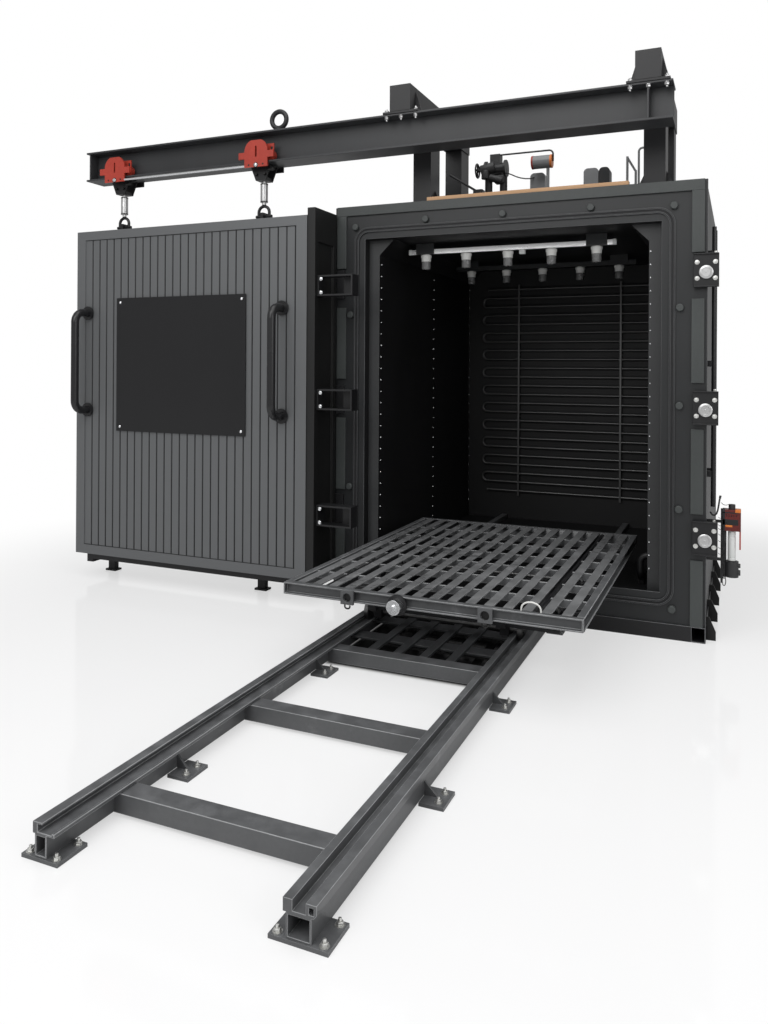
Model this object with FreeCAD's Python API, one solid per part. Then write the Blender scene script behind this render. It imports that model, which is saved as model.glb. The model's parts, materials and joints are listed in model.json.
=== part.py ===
import FreeCAD
import Part
import math
import os

from FreeCAD import Vector

# Transformer drying oven: an insulated box with a sliding door on an overhead
# beam, a floor track in front, a transfer carriage and a slatted load platform.
# Millimetres. X runs along the front, to the right. Y runs into the oven.
# Z is up. The origin is on the floor, under the middle of the oven's front.

# Oven body
oven_width = 2060.0
oven_height = 2300.0
oven_depth = 2000.0
base_height = 78.0
base_tube_width = 70.0
base_tube_wall = 5.0
base_front = -12.0
face_plate = 12.0
left_jamb = 192.0
right_jamb = 218.0
opening_bottom = 229.0
lintel_height = 195.0
chamber_floor = 205.0
back_wall_thickness = 180.0
outer_skin_set_back = 8.0
duct_thickness = 67.0
duct_chamfer = 90.0
duct_front_gap = 48.0
duct_rear_gap = 10.0

# Front face trim
border_width = 60.0
border_thickness = 12.0
border_inset = 14.0
top_rail_height = 55.0
post_gap = 230.0
post_gap_shares = [0.156, 0.503, 0.849]
seal_gap = 38.0
seal_width = 30.0
seal_height = 10.0
seal_corner = 60.0
seal_groove = 12.0
seal_groove_depth = 5.0
pad_diameter = 38.0
pad_height = 20.0
pad_rounding = 5.0
pad_side_gap = 89.0
pad_side_shares = [0.227, 0.503, 0.765]
pad_corner_gap = 59.0
pad_corner_drop = 77.0
pad_corner_rise = 72.0
pad_top_rise = 92.0
pad_top_shifts = [-447.0, 1.0, 473.0]

# Clamps and side stiffeners
clamp_shares = [0.157, 0.499, 0.861]
clamp_width = 118.0
clamp_height = 167.0
clamp_plate = 12.0
clamp_standoff = 18.0
clamp_shift = -6.0
clamp_packer_inset = 14.0
clamp_cheek_depth = 70.0
clamp_lip = 9.0
clamp_lip_thickness = 6.0
clamp_disc = 64.0
clamp_disc_height = 8.0
clamp_disc_drop = 10.0
left_clamp_width = 70.0
left_clamp_overhang = 20.0
rib_count = 5
rib_front_gap = 60.0
rib_rear_gap = 600.0
rib_thickness = 12.0
rib_height = 115.0
rib_reach = 45.0
rib_foot = 43.0
rib_shoulder = 14.0

# Heater on the back wall
heater_tube = 18.0
heater_rows = 24
heater_bottom = 418.0
heater_top_gap = 146.0
heater_left_gap = 151.0
heater_right_gap = 105.0
heater_back_gap = 12.0
heater_bar_insets = [241.0, 267.0]
heater_bar_width = 14.0
heater_bar_thickness = 8.0
heater_clip_height = 10.0
heater_clip_steps = [1, 8, 15, 22]

# Ceiling lamps
lamp_count = 5
lamp_rail_size = 30.0
lamp_rail_left_gap = 93.0
lamp_rail_right_gap = 193.0
lamp_end_gap = 109.0
lamp_row_drop = 35.0
lamp_front_gap = 273.0
lamp_rear_gap = 625.0
lamp_hanger_width = 115.0
lamp_hanger_thickness = 6.0
lamp_hanger_inset = 50.0
lamp_collar = 36.0
lamp_collar_height = 9.0
lamp_holder_top = 50.0
lamp_holder_bottom = 64.0
lamp_holder_height = 35.0
lamp_jar_width = 52.0
lamp_jar_height = 47.0
lamp_jar_rounding = 22.0

# Pipe on the chamber floor, beside the right duct
chamber_pipe = 36.0
chamber_pipe_gap = 8.0
chamber_pipe_lift = 24.0
chamber_pipe_front = 190.0
chamber_pipe_bend = 40.0
chamber_pipe_rear_gap = 300.0
chamber_pipe_rise = 40.0
saddle_length = 30.0
saddle_width = 28.0
saddle_count = 4

# Door
door_parking_gap = 30.0
door_extra_width = 33.0
door_bottom = 154.0
door_rise = 108.0
door_front = -300.0
door_back = -30.0
door_edge_left = 67.0
door_edge_right = 70.0
door_edge_top = 55.0
door_edge_bottom = 57.0
board_pitch = 57.0
board_groove = 7.0
board_groove_depth = 4.0
board_recess = 6.0
side_frame_width = 50.0
side_frame_rise = 41.0
side_frame_drop = 10.0
side_frame_set_back = 4.0
side_frame_web = 40.0
side_frame_recess = 12.0
side_pocket_low = 60.0
side_pocket_high = 150.0
handle_tube = 48.0
handle_bend = 62.0
handle_standoff = 137.0
handle_length = 665.0
handle_share = 0.5967
handle_inset = 93.0
handle_right_inset = 160.0
rosette_diameter = 86.0
rosette_thickness = 8.0
sign_width = 953.0
sign_height = 832.0
sign_share = 0.5877
sign_shift = -37.0
sign_thickness = 6.0
sign_standoff = 4.0
sign_spacer = 24.0
sign_spacer_inset = 40.0
door_beam_height = 70.0
door_beam_middle_height = 50.0
door_beam_end = 50.0
door_beam_front_inset = 70.0
door_beam_back_inset = 20.0
door_beam_left_inset = 30.0
door_beam_right_inset = 60.0
door_foot_plate = 82.0
door_foot_plate_depth = 60.0
door_foot_thickness = 12.0
door_foot_post = 50.0
door_foot_post_depth = 40.0
door_foot_insets = [66.0, 378.0]
door_foot_back_gap = 10.0
door_bracket_shares = [0.155, 0.503, 0.845]
door_bracket_reach = 220.0
door_bracket_height = 118.0
door_bracket_depth = 80.0
door_bracket_set_back = 30.0
door_bracket_plate = 10.0
door_bracket_web = 75.0

# Overhead runway
beam_left_inset = 28.0
beam_right_inset = 148.0
beam_rise = 248.0
beam_height = 186.0
beam_flange = 160.0
beam_flange_thickness = 11.0
beam_web = 8.0
beam_y = -175.0
stiffener_insets = [20.0, 120.0]
stiffener_thickness = 10.0
stiffener_margin = 6.0
column_insets = [515.0, 262.0]
column_width = 108.0
column_depth = 150.0
column_y = 80.0
column_spacing = 560.0
column_foot_thickness = 10.0
column_foot_side = 40.0
column_foot_end = 30.0
column_gusset_reach = 38.0
column_gusset_height = 80.0
column_gusset_thickness = 10.0
arm_height = 140.0
arm_width = 120.0
arm_wall = 8.0
arm_front = -262.0
arm_plate = 12.0
arm_plate_width = 204.0
arm_plate_length = 170.0
arm_gusset_reach = 38.0
arm_gusset_drop = 20.0
arm_gusset_thickness = 10.0
eye_inset = 260.0
eye_bar = 28.0
eye_ring = 125.0
eye_collar = 62.0
eye_collar_height = 22.0
eye_sink = 8.0

# Door trolleys and hangers
trolley_insets = [273.0, 360.0]
trolley_plate = 10.0
trolley_gap = 6.0
trolley_drop = 26.0
trolley_body_half = 78.0
trolley_body_height = 51.0
trolley_bumper_half = 118.0
trolley_bumper_top = 90.0
trolley_dome_half = 35.0
trolley_dome_top = 157.0
trolley_dome_bulge_half = 67.0
trolley_dome_bulge_level = 130.0
trolley_slot_width = 12.0
trolley_slot_low = 60.0
trolley_slot_high = 123.0
trolley_wheel = 72.0
trolley_wheel_gap = 120.0
trolley_wheel_width = 30.0
trolley_wheel_lift = 0.3
trolley_axle = 24.0
carrier_gap = 34.0
carrier_plate = 6.0
carrier_half = 96.0
carrier_low = 45.0
carrier_high = 140.0
carrier_window_low = 62.0
carrier_window_high = 122.0
carrier_window_inset = 8.0
carrier_window_width = 16.0
yoke_plate = 8.0
yoke_half_gap = 33.0
yoke_top_half = 70.0
yoke_bottom_half = 34.0
yoke_head_gap = 5.0
yoke_drop = 93.0
yoke_pin = 12.0
yoke_pin_drop = 14.0
yoke_block = 20.0
tie_rod = 14.0
tie_drop = 16.0
turnbuckle_length = 112.0
turnbuckle_diameter = 44.0
turnbuckle_neck = 24.0
turnbuckle_neck_length = 13.0
shackle_bar = 18.0
shackle_inner = 54.0
shackle_bite = 4.0
shackle_pin_height = 34.0
shackle_pin_overhang = 18.0
hanger_lug_thickness = 20.0
hanger_lug_length = 56.0
hanger_lug_head = 20.0

# Floor track
track_front = -2674.0
track_back = -12.0
left_rail_offset = 112.0
right_rail_offset = 220.0
foot_plate = 11.0
rail_tube_height = 62.0
left_tube_width = 42.0
right_tube_width = 68.0
left_tube_inset = 8.0
right_tube_inset = 9.0
rail_tube_wall = 5.0
guide_height = 33.0
guide_floor = 6.0
left_guide_width = 78.0
right_guide_width = 91.0
left_guide_web = 18.0
left_guide_flange = 35.0
left_guide_lip = 10.0
left_guide_lip_height = 5.0
right_guide_bar = 26.0
right_guide_groove = 36.0
right_guide_wall = 8.0
right_guide_taper = 10.0
rung_height = 61.0
rung_width = 75.0
rung_wall = 4.0
rung_places = [-2412.0, -1702.0, -1018.0]
bed_bar_width = 40.0
bed_bar_thickness = 12.0
bed_bar_count = 4
bed_plate_places = [-780.0, -520.0, -180.0]
bed_plate_width = 90.0
bed_plate_thickness = 10.0
end_foot_length = 112.0
end_foot_overhang = 4.0
end_foot_hole_inset = 18.0
left_foot_width = 131.0
right_foot_width = 162.0
side_foot_size = 110.0
side_foot_reach = 82.5
side_foot_hole_reach = 57.2
side_foot_hole_inset = 25.0
side_foot_places_left = [-2160.0, -1180.0]
side_foot_places_right = [-1985.0, -1210.0]
side_foot_rear_gap = 160.0
side_foot_gusset = 45.0
side_foot_gusset_thickness = 8.0
anchor_hole = 11.0
anchor_pitch = 80.0

# Transfer carriage
carriage_front = -660.0
carriage_length = 630.0
carriage_wheel = 90.0
wheel_width = 20.0
wheel_axle = 25.0
axle_clearance = 0.05
wheel_running_gap = 0.3
carriage_axle_inset = 100.0
carriage_axle_overhang = 14.0
carriage_left_line = 50.0
carriage_right_line = 44.0
bearer_width = 44.0
left_bearer_gap = 26.0
right_bearer_gap = 44.0
bearer_height = 42.0
bearer_bottom = 152.0
bearing_block_height = 54.0
bearing_block_length = 60.0
cross_beam_width = 28.0
cross_beam_inset = 20.0
cross_beam_step = 4.0
runner_width = 40.0
runner_top = 235.0

# Load platform
platform_left_clearance = 77.0
platform_right_clearance = 111.0
platform_end_clearance = 48.0
platform_front = -1158.0
platform_top = 390.0
platform_height = 52.0
platform_flange = 30.0
platform_web = 6.0
slat_width = 40.0
slat_thickness = 6.0
slat_count = 16
cross_bar_width = 12.0
cross_bar_height = 34.0
cross_bar_count = 6
lug_size = 60.0
lug_hole = 38.0
lug_thickness = 14.0
lug_shifts = [-342.0, 275.0]
hub_shift = -110.0
hub_rise = 16.0
hub_diameter = 62.0
hub_length = 40.0
hub_flange = 88.0
hub_flange_thickness = 10.0
hub_nose = 22.0
hub_nose_length = 12.0
platform_wheel = 90.0
platform_wheel_inset = 214.0
platform_axle_overhang = 38.0
front_axle_inset = 558.0
platform_wheelbase = 450.0
fork_plate = 12.0
fork_gap = 8.0
fork_length = 70.0
fork_below_axle = 19.0

# Roof equipment
roof_curb_height = 22.0
roof_curb_width = 40.0
roof_curb_left_gap = 60.0
roof_curb_right_gap = 118.0
equipment_y = 350.0
valve_x = -150.0
valve_axis_height = 230.0
valve_body = 70.0
valve_length = 130.0
valve_flange = 100.0
valve_flange_thickness = 12.0
valve_leg = 44.0
valve_leg_spacing = 90.0
valve_drive = 60.0
valve_drive_height = 83.0
valve_stem = 16.0
valve_stem_length = 50.0
valve_wheel = 90.0
valve_wheel_bar = 10.0
lever_x = -255.0
lever_block = 56.0
lever_block_height = 115.0
lever_run = -182.0
lever_lift = 119.0
lever_bar = 14.0
gauge_x = 65.0
gauge_length = 116.0
gauge_diameter = 75.0
gauge_height = 248.0
gauge_post = 16.0
box_places = [79.0, 388.0, 462.0]
box_widths = [88.0, 84.0, 60.0]
box_height = 206.0
box_depth = 90.0
box_rounding = 24.0
impulse_tube = 10.0
impulse_start = -120.0
impulse_end = 186.0
impulse_rise = 312.0
impulse_bend = 24.0
bracket_x = 593.0
bracket_height = 233.0
bracket_bar = 12.0
bracket_brace_run = 45.0
bracket_brace_drop = 80.0
vent_x = 648.0
vent_height = 274.0
vent_tube = 12.0
vent_bend = 20.0
vent_run = 36.0

# Service unit and conduits on the right side
conduit_diameter = 22.0
conduit_offset = 26.0
conduit_places = [130.0, 260.0]
conduit_bottom = 660.0
conduit_top_gap = 220.0
conduit_clip = 16.0
conduit_clip_height = 30.0
conduit_clip_inset = 150.0
unit_y = 90.0
unit_bottom = 288.0
unit_rod_offset = 64.0
unit_rod_width = 10.0
unit_rod_height = 372.0
unit_arm_height = 14.0
unit_arm_levels = [110.0, 300.0]
unit_block_width = 83.0
unit_block_depth = 60.0
unit_block_height = 105.0
unit_block_level = 266.0
unit_cylinder = 36.0
unit_bowl = 64.0
unit_bowl_level = 35.0
unit_bowl_height = 78.0
unit_cap = 32.0
unit_cap_height = 24.0

X_AXIS = Vector(1, 0, 0)
Y_AXIS = Vector(0, 1, 0)
Z_AXIS = Vector(0, 0, 1)

oven_left = -oven_width / 2
oven_right = oven_width / 2
opening_left = oven_left + left_jamb
opening_right = oven_right - right_jamb
opening_middle = (opening_left + opening_right) / 2
opening_top = oven_height - lintel_height
opening_height = opening_top - opening_bottom
chamber_left = opening_left + duct_thickness
chamber_right = opening_right - duct_thickness
chamber_back = oven_depth - back_wall_thickness
clamp_levels = [opening_bottom + share * opening_height for share in clamp_shares]
post_gap_levels = [opening_bottom + share * opening_height for share in post_gap_shares]
bracket_levels = [opening_bottom + share * opening_height for share in door_bracket_shares]
rib_pitch = (oven_depth - rib_front_gap - rib_rear_gap) / (rib_count - 1)
heater_left = chamber_left + heater_left_gap
heater_right = chamber_right - heater_right_gap
heater_pitch = (opening_top - heater_top_gap - heater_bottom) / (heater_rows - 1)
heater_y = chamber_back - heater_back_gap - heater_tube / 2
lamp_rows = [face_plate + lamp_front_gap, chamber_back - lamp_rear_gap]
lamp_rail_left = chamber_left + lamp_rail_left_gap
lamp_rail_right = chamber_right - lamp_rail_right_gap
lamp_pitch = (lamp_rail_right - lamp_rail_left - 2 * lamp_end_gap) / (lamp_count - 1)
door_right = oven_left - door_parking_gap
door_left = door_right - (opening_right - opening_left) - door_extra_width
door_top = opening_top + door_rise
door_height = door_top - door_bottom
side_frame_right = door_right + side_frame_width
side_frame_top = door_top + side_frame_rise
beam_left = door_left + beam_left_inset
beam_right = oven_right - beam_right_inset
beam_bottom = oven_height + beam_rise
beam_top = beam_bottom + beam_height
column_places = [oven_left + column_insets[0], oven_right - column_insets[1]]
trolley_places = [door_left + trolley_insets[0], door_right - trolley_insets[1]]
trolley_bottom = beam_bottom - trolley_drop
trolley_inner = beam_flange / 2 + trolley_gap
yoke_bottom = beam_bottom - yoke_drop
platform_left = chamber_left + platform_left_clearance
platform_right = chamber_right - platform_right_clearance
platform_centre = (platform_left + platform_right) / 2
platform_length = chamber_back - face_plate - platform_end_clearance
platform_gauge = platform_right - platform_left - 2 * platform_wheel_inset
platform_bottom = platform_top - platform_height
platform_axle_z = runner_top + platform_wheel / 2 + wheel_running_gap
left_rail = platform_centre - platform_gauge / 2 - left_rail_offset
right_rail = platform_centre + platform_gauge / 2 - right_rail_offset
track_tube_top = foot_plate + rail_tube_height
guide_top = track_tube_top + guide_height
wheel_floor = track_tube_top + guide_floor
carriage_axle_z = wheel_floor + carriage_wheel / 2 + wheel_running_gap
carriage_wheel_left = left_rail + carriage_left_line
carriage_wheel_right = right_rail + carriage_right_line


def block(x0, x1, y0, y1, z0, z1):
    """A plain rectangular solid between two corners."""
    return Part.makeBox(x1 - x0, y1 - y0, z1 - z0, Vector(x0, y0, z0))


def rod(start, direction, length, diameter):
    """A round bar from a point along a direction."""
    return Part.makeCylinder(diameter / 2, length, start, direction)


def prism(points, push):
    """A closed outline pushed along a vector."""
    wire = Part.makePolygon(points + [points[0]])
    return Part.Face(wire).extrude(push)


def fused(shapes):
    """One solid from pieces that share faces or overlap."""
    body = shapes[0].multiFuse(shapes[1:]) if len(shapes) > 1 else shapes[0]
    return body.removeSplitter()


def tube_x(x0, x1, y0, y1, z0, z1, wall):
    """A rectangular tube along X, open at both ends."""
    inner = block(x0 - 1, x1 + 1, y0 + wall, y1 - wall, z0 + wall, z1 - wall)
    return block(x0, x1, y0, y1, z0, z1).cut(inner)


def tube_y(x0, x1, y0, y1, z0, z1, wall):
    """A rectangular tube along Y, open at both ends."""
    inner = block(x0 + wall, x1 - wall, y0 - 1, y1 + 1, z0 + wall, z1 - wall)
    return block(x0, x1, y0, y1, z0, z1).cut(inner)


def rounded_outline(x0, x1, z0, z1, radius, y):
    """A wire in the front plane: a rectangle with round corners."""
    turn = radius * (1 - math.sqrt(0.5))
    corners = [
        (x1 - radius, z0, x1 - turn, z0 + turn, x1, z0 + radius),
        (x1, z1 - radius, x1 - turn, z1 - turn, x1 - radius, z1),
        (x0 + radius, z1, x0 + turn, z1 - turn, x0, z1 - radius),
        (x0, z0 + radius, x0 + turn, z0 + turn, x0 + radius, z0),
    ]
    edges = []
    last = Vector(x0 + radius, y, z0)
    for ax, az, bx, bz, cx, cz in corners:
        start = Vector(ax, y, az)
        edges.append(Part.LineSegment(last, start).toShape())
        last = Vector(cx, y, cz)
        edges.append(Part.Arc(start, Vector(bx, y, bz), last).toShape())
    return Part.Wire(edges)


def rounded_slab(x0, x1, z0, z1, radius, y0, y1):
    """A plate in the front plane with round corners."""
    outline = rounded_outline(x0, x1, z0, z1, radius, y0)
    return Part.Face(outline).extrude(Vector(0, y1 - y0, 0))


def base_frame():
    """Tubes on the floor under the oven; the long ones are open at the front."""
    long_tubes = []
    for x0 in (oven_left, oven_right - base_tube_width):
        x1 = x0 + base_tube_width
        long_tubes.append(tube_y(x0, x1, base_front, oven_depth, 0, base_height, base_tube_wall))
    between = (oven_left + base_tube_width, oven_right - base_tube_width)
    cross_places = (base_front, oven_depth / 2 - base_tube_width / 2, oven_depth - base_tube_width)
    for y0 in cross_places:
        long_tubes.append(tube_x(*between, y0, y0 + base_tube_width, 0, base_height, base_tube_wall))
    return fused(long_tubes)


def side_wall(side):
    """An insulated side wall from the outer skin to the opening's edge."""
    outer = oven_right - outer_skin_set_back
    span = (opening_right, outer) if side > 0 else (-outer, opening_left)
    return block(*span, face_plate, oven_depth, base_height, oven_height)


def floor_panel():
    return block(opening_left, opening_right, face_plate, oven_depth, base_height, chamber_floor)


def roof_panel():
    return block(opening_left, opening_right, face_plate, oven_depth, opening_top, oven_height)


def back_wall():
    return block(opening_left, opening_right, chamber_back, oven_depth, chamber_floor, opening_top)


def face_frame():
    """The front plate with the doorway cut through it."""
    plate = block(oven_left, oven_right, 0, face_plate, base_height, oven_height)
    return plate.cut(block(opening_left, opening_right, -1, face_plate + 1, opening_bottom, opening_top))


def front_border():
    """Raised strips round the front: a top rail and posts with gaps at the clamps."""
    outer = oven_right - border_inset
    pieces = [block(-outer, outer, -border_thickness, 0, oven_height - top_rail_height, oven_height)]
    stops = [base_height]
    for level in post_gap_levels:
        stops += [level - post_gap / 2, level + post_gap / 2]
    stops.append(oven_height - top_rail_height)
    for x0 in (-outer, outer - border_width):
        for low, high in zip(stops[0::2], stops[1::2]):
            pieces.append(block(x0, x0 + border_width, -border_thickness, 0, low, high))
    return pieces


def seal_channel():
    """A round-cornered ring round the doorway with a groove for the door's gasket."""
    sides = (opening_left - seal_gap, opening_right + seal_gap)
    inner = (*sides, opening_bottom - seal_gap, opening_top + seal_gap)

    def grown(by, y0, y1):
        box = (inner[0] - by, inner[1] + by, inner[2] - by, inner[3] + by)
        return rounded_slab(*box, seal_corner + by, y0, y1)

    ring = grown(seal_width, -seal_height, 0).cut(grown(0, -seal_height - 1, 1))
    side = (seal_width - seal_groove) / 2
    groove = grown(seal_width - side, -seal_height - 1, seal_groove_depth - seal_height)
    groove = groove.cut(grown(side, -seal_height - 2, 1))
    return ring.cut(groove)


def stop_pads():
    """Round pads on the face plate, outside the seal, that the closed door meets."""
    spots = []
    for edge, side in ((opening_left, -1), (opening_right, 1)):
        x = edge + side * pad_side_gap
        spots += [(x, opening_bottom + share * opening_height) for share in pad_side_shares]
        spots.append((edge + side * pad_corner_gap, opening_bottom - pad_corner_drop))
        spots.append((edge + side * pad_corner_gap, opening_top + pad_corner_rise))
    spots += [(opening_middle + shift, opening_top + pad_top_rise) for shift in pad_top_shifts]
    pads = []
    for x, z in spots:
        pad = rod(Vector(x, -pad_height, z), Y_AXIS, pad_height, pad_diameter)
        rim = [edge for edge in pad.Edges if edge.BoundBox.YMax < -pad_height / 2]
        pads.append(pad.makeFillet(pad_rounding, rim[:1]))
    return pads


def duct_panel(side):
    """An air duct along one side of the chamber, its top corner cut at 45 degrees."""
    wall = opening_right if side > 0 else opening_left
    face = chamber_right if side > 0 else chamber_left
    y0 = face_plate + duct_front_gap
    push = Vector(0, chamber_back - duct_rear_gap - y0, 0)
    outline = [
        Vector(wall, y0, chamber_floor),
        Vector(face, y0, chamber_floor),
        Vector(face, y0, opening_top - duct_chamfer),
        Vector(face - side * duct_chamfer, y0, opening_top),
        Vector(wall, y0, opening_top),
    ]
    return prism(outline, push)


def heater_coil():
    """One long tube bent back and forth up the back wall."""
    y = heater_y
    bend = heater_pitch / 2
    edges = []
    for row in range(heater_rows):
        z = heater_bottom + row * heater_pitch
        start, end = (heater_left, heater_right) if row % 2 == 0 else (heater_right, heater_left)
        edges.append(Part.LineSegment(Vector(start, y, z), Vector(end, y, z)).toShape())
        if row < heater_rows - 1:
            out = bend if end == heater_right else -bend
            turn = Vector(end + out, y, z + bend)
            arc = Part.Arc(Vector(end, y, z), turn, Vector(end, y, z + heater_pitch))
            edges.append(arc.toShape())
    path = Part.Wire(edges)
    ring = Part.Wire(Part.Circle(Vector(heater_left, y, heater_bottom), X_AXIS, heater_tube / 2).toShape())
    return path.makePipeShell([ring], True, False)


def heater_bars():
    """Two upright bars in front of the heater tubes, clipped to the back wall."""
    low = heater_bottom - heater_pitch / 2
    high = opening_top - heater_top_gap + heater_pitch / 2
    y1 = heater_y - heater_tube / 2
    bars = []
    for x in (heater_left + heater_bar_insets[0], heater_right - heater_bar_insets[1]):
        x1 = x + heater_bar_width
        parts = [block(x, x1, y1 - heater_bar_thickness, y1, low, high)]
        for step in heater_clip_steps:
            z = heater_bottom + (step + 0.5) * heater_pitch - heater_clip_height / 2
            parts.append(block(x, x1, y1, chamber_back, z, z + heater_clip_height))
        bars.append(fused(parts))
    return bars


def lamp_row_rail(row_y):
    """A square rail under the ceiling with a hanger plate near each end."""
    top = opening_top - lamp_row_drop
    x0 = lamp_rail_left
    x1 = lamp_rail_right
    parts = [block(x0, x1, row_y, row_y + lamp_rail_size, top - lamp_rail_size, top)]
    for x in (x0 + lamp_hanger_inset, x1 - lamp_hanger_inset - lamp_hanger_width):
        parts.append(block(x, x + lamp_hanger_width, row_y - lamp_hanger_thickness, row_y,
                           top - lamp_rail_size, opening_top))
    return fused(parts)


def lamp_spots():
    """The lamps' middles under the rails."""
    first = lamp_rail_left + lamp_end_gap
    z = opening_top - lamp_row_drop - lamp_rail_size
    places = [first + i * lamp_pitch for i in range(lamp_count)]
    return [Vector(x, y + lamp_rail_size / 2, z) for y in lamp_rows for x in places]


def lamp_holder(spot):
    """A collar and a flared holder under the rail."""
    collar = rod(spot - Z_AXIS * lamp_collar_height, Z_AXIS, lamp_collar_height, lamp_collar)
    foot = spot - Z_AXIS * (lamp_collar_height + lamp_holder_height)
    flare = Part.makeCone(lamp_holder_bottom / 2, lamp_holder_top / 2, lamp_holder_height, foot, Z_AXIS)
    return fused([collar, flare])


def lamp_jar(spot):
    """A glass jar with a round bottom under its holder."""
    low = spot - Z_AXIS * (lamp_collar_height + lamp_holder_height + lamp_jar_height)
    glass = rod(low, Z_AXIS, lamp_jar_height, lamp_jar_width)
    rim = [edge for edge in glass.Edges if edge.BoundBox.ZMax < low.z + lamp_jar_height / 2]
    return glass.makeFillet(lamp_jar_rounding, rim[:1])


def chamber_rails():
    """Two flat runways on the chamber floor, level with the carriage's runners."""
    rails = []
    for side in (-1, 1):
        x = platform_centre + side * platform_gauge / 2 - runner_width / 2
        rails.append(block(x, x + runner_width, face_plate, chamber_back - duct_rear_gap, chamber_floor,
                           runner_top))
    return rails


def floor_pipe():
    """A pipe along the chamber floor that bends up and into the right duct, on saddles."""
    x = chamber_right - chamber_pipe_gap - chamber_pipe_bend
    y = chamber_pipe_front
    z = chamber_floor + chamber_pipe_lift + chamber_pipe / 2
    back = chamber_back - chamber_pipe_rear_gap
    bend = chamber_pipe_bend
    turn = bend * (1 - math.sqrt(0.5))
    low = z + bend
    high = low + chamber_pipe_rise
    top = high + bend
    edges = [
        Part.LineSegment(Vector(x, back, z), Vector(x, y + bend, z)).toShape(),
        Part.Arc(Vector(x, y + bend, z), Vector(x, y + turn, z + turn), Vector(x, y, low)).toShape(),
        Part.LineSegment(Vector(x, y, low), Vector(x, y, high)).toShape(),
        Part.Arc(Vector(x, y, high), Vector(x + turn, y, top - turn), Vector(x + bend, y, top)).toShape(),
        Part.LineSegment(Vector(x + bend, y, top), Vector(chamber_right, y, top)).toShape(),
    ]
    ring = Part.Wire(Part.Circle(Vector(x, back, z), Y_AXIS, chamber_pipe / 2).toShape())
    pipe = Part.Wire(edges).makePipeShell([ring], True, False)
    parts = [pipe]
    step = (back - y - bend - saddle_length) / (saddle_count - 1)
    for i in range(saddle_count):
        y0 = y + bend + i * step
        saddle_x = x - saddle_width / 2
        parts.append(block(saddle_x, saddle_x + saddle_width, y0, y0 + saddle_length, chamber_floor, z))
    return fused(parts)


def right_clamp(level):
    """A bolted clamp box on the right edge of the front."""
    x0 = oven_right + clamp_shift - clamp_width / 2
    x1 = x0 + clamp_width
    z0 = level - clamp_height / 2
    z1 = z0 + clamp_height
    inset = clamp_packer_inset
    front = -clamp_standoff - clamp_plate
    parts = [
        block(x0, x1, front, -clamp_standoff, z0, z1),
        block(x0 + inset, x1 - inset, -clamp_standoff, 0, z0 + inset, z1 - inset),
        block(oven_right, x1 - inset, 0, clamp_cheek_depth, z0 + inset, z1 - inset),
        block(x0, x1, front - clamp_lip, front, z1 - clamp_lip_thickness, z1),
        block(x0, x1, front - clamp_lip, front, z0, z0 + clamp_lip_thickness),
        rod(Vector((x0 + x1) / 2, front - clamp_disc_height, level - clamp_disc_drop), Y_AXIS,
            clamp_disc_height, clamp_disc),
    ]
    return fused(parts)


def left_clamp(level):
    """A plain clamp block on the left edge of the front."""
    x0 = oven_left + border_inset - left_clamp_overhang
    z0 = level - clamp_height / 2
    return block(x0, x0 + left_clamp_width, -clamp_standoff, 0, z0, z0 + clamp_height)


def side_rib(side, index):
    """A low sloping foot plate that stiffens the side wall and its base tube."""
    y = rib_front_gap + index * rib_pitch
    wall = side * (oven_right - outer_skin_set_back)
    face = side * oven_right
    outer = side * (oven_right + rib_reach)
    outline = [
        Vector(wall, y, base_height),
        Vector(face, y, base_height),
        Vector(face, y, 0),
        Vector(outer, y, 0),
        Vector(outer, y, rib_foot),
        Vector(side * (oven_right + rib_shoulder), y, rib_height),
        Vector(wall, y, rib_height),
    ]
    return prism(outline, Vector(0, rib_thickness, 0))


def door_panel():
    """The door's insulated leaf with upright boards pressed into its front."""
    x0 = door_left
    x1 = door_right
    leaf = block(x0, x1, door_front + board_recess, door_back, door_bottom, door_top)
    frame_out = block(x0, x1, door_front, door_front + board_recess, door_bottom, door_top)
    frame_in = block(x0 + door_edge_left, x1 - door_edge_right, door_front - 1,
                     door_front + board_recess + 1, door_bottom + door_edge_bottom, door_top - door_edge_top)
    leaf = fused([leaf, frame_out.cut(frame_in)])
    first = x0 + door_edge_left
    last = x1 - door_edge_right
    count = int((last - first) / board_pitch)
    y0 = door_front + board_recess
    grooves = []
    for i in range(1, count + 1):
        x = first + i * board_pitch
        if x > last - board_groove:
            continue
        outline = [
            Vector(x - board_groove / 2, y0 - 1, door_bottom + door_edge_bottom),
            Vector(x + board_groove / 2, y0 - 1, door_bottom + door_edge_bottom),
            Vector(x, y0 + board_groove_depth, door_bottom + door_edge_bottom),
        ]
        height = door_top - door_edge_top - door_bottom - door_edge_bottom
        grooves.append(prism(outline, Vector(0, 0, height)))
    return leaf.cut(Part.makeCompound(grooves))


def door_side_frame():
    """The upright that closes the door's right edge and stands above it."""
    front = door_front + side_frame_set_back
    low = door_bottom - side_frame_drop
    body = block(door_right, side_frame_right, front, door_back, low, side_frame_top)
    pocket = block(side_frame_right - side_frame_recess, side_frame_right + 1, front + side_frame_web,
                   door_back - side_frame_web, door_bottom + side_pocket_low, door_top - side_pocket_high)
    return body.cut(pocket)


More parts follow.
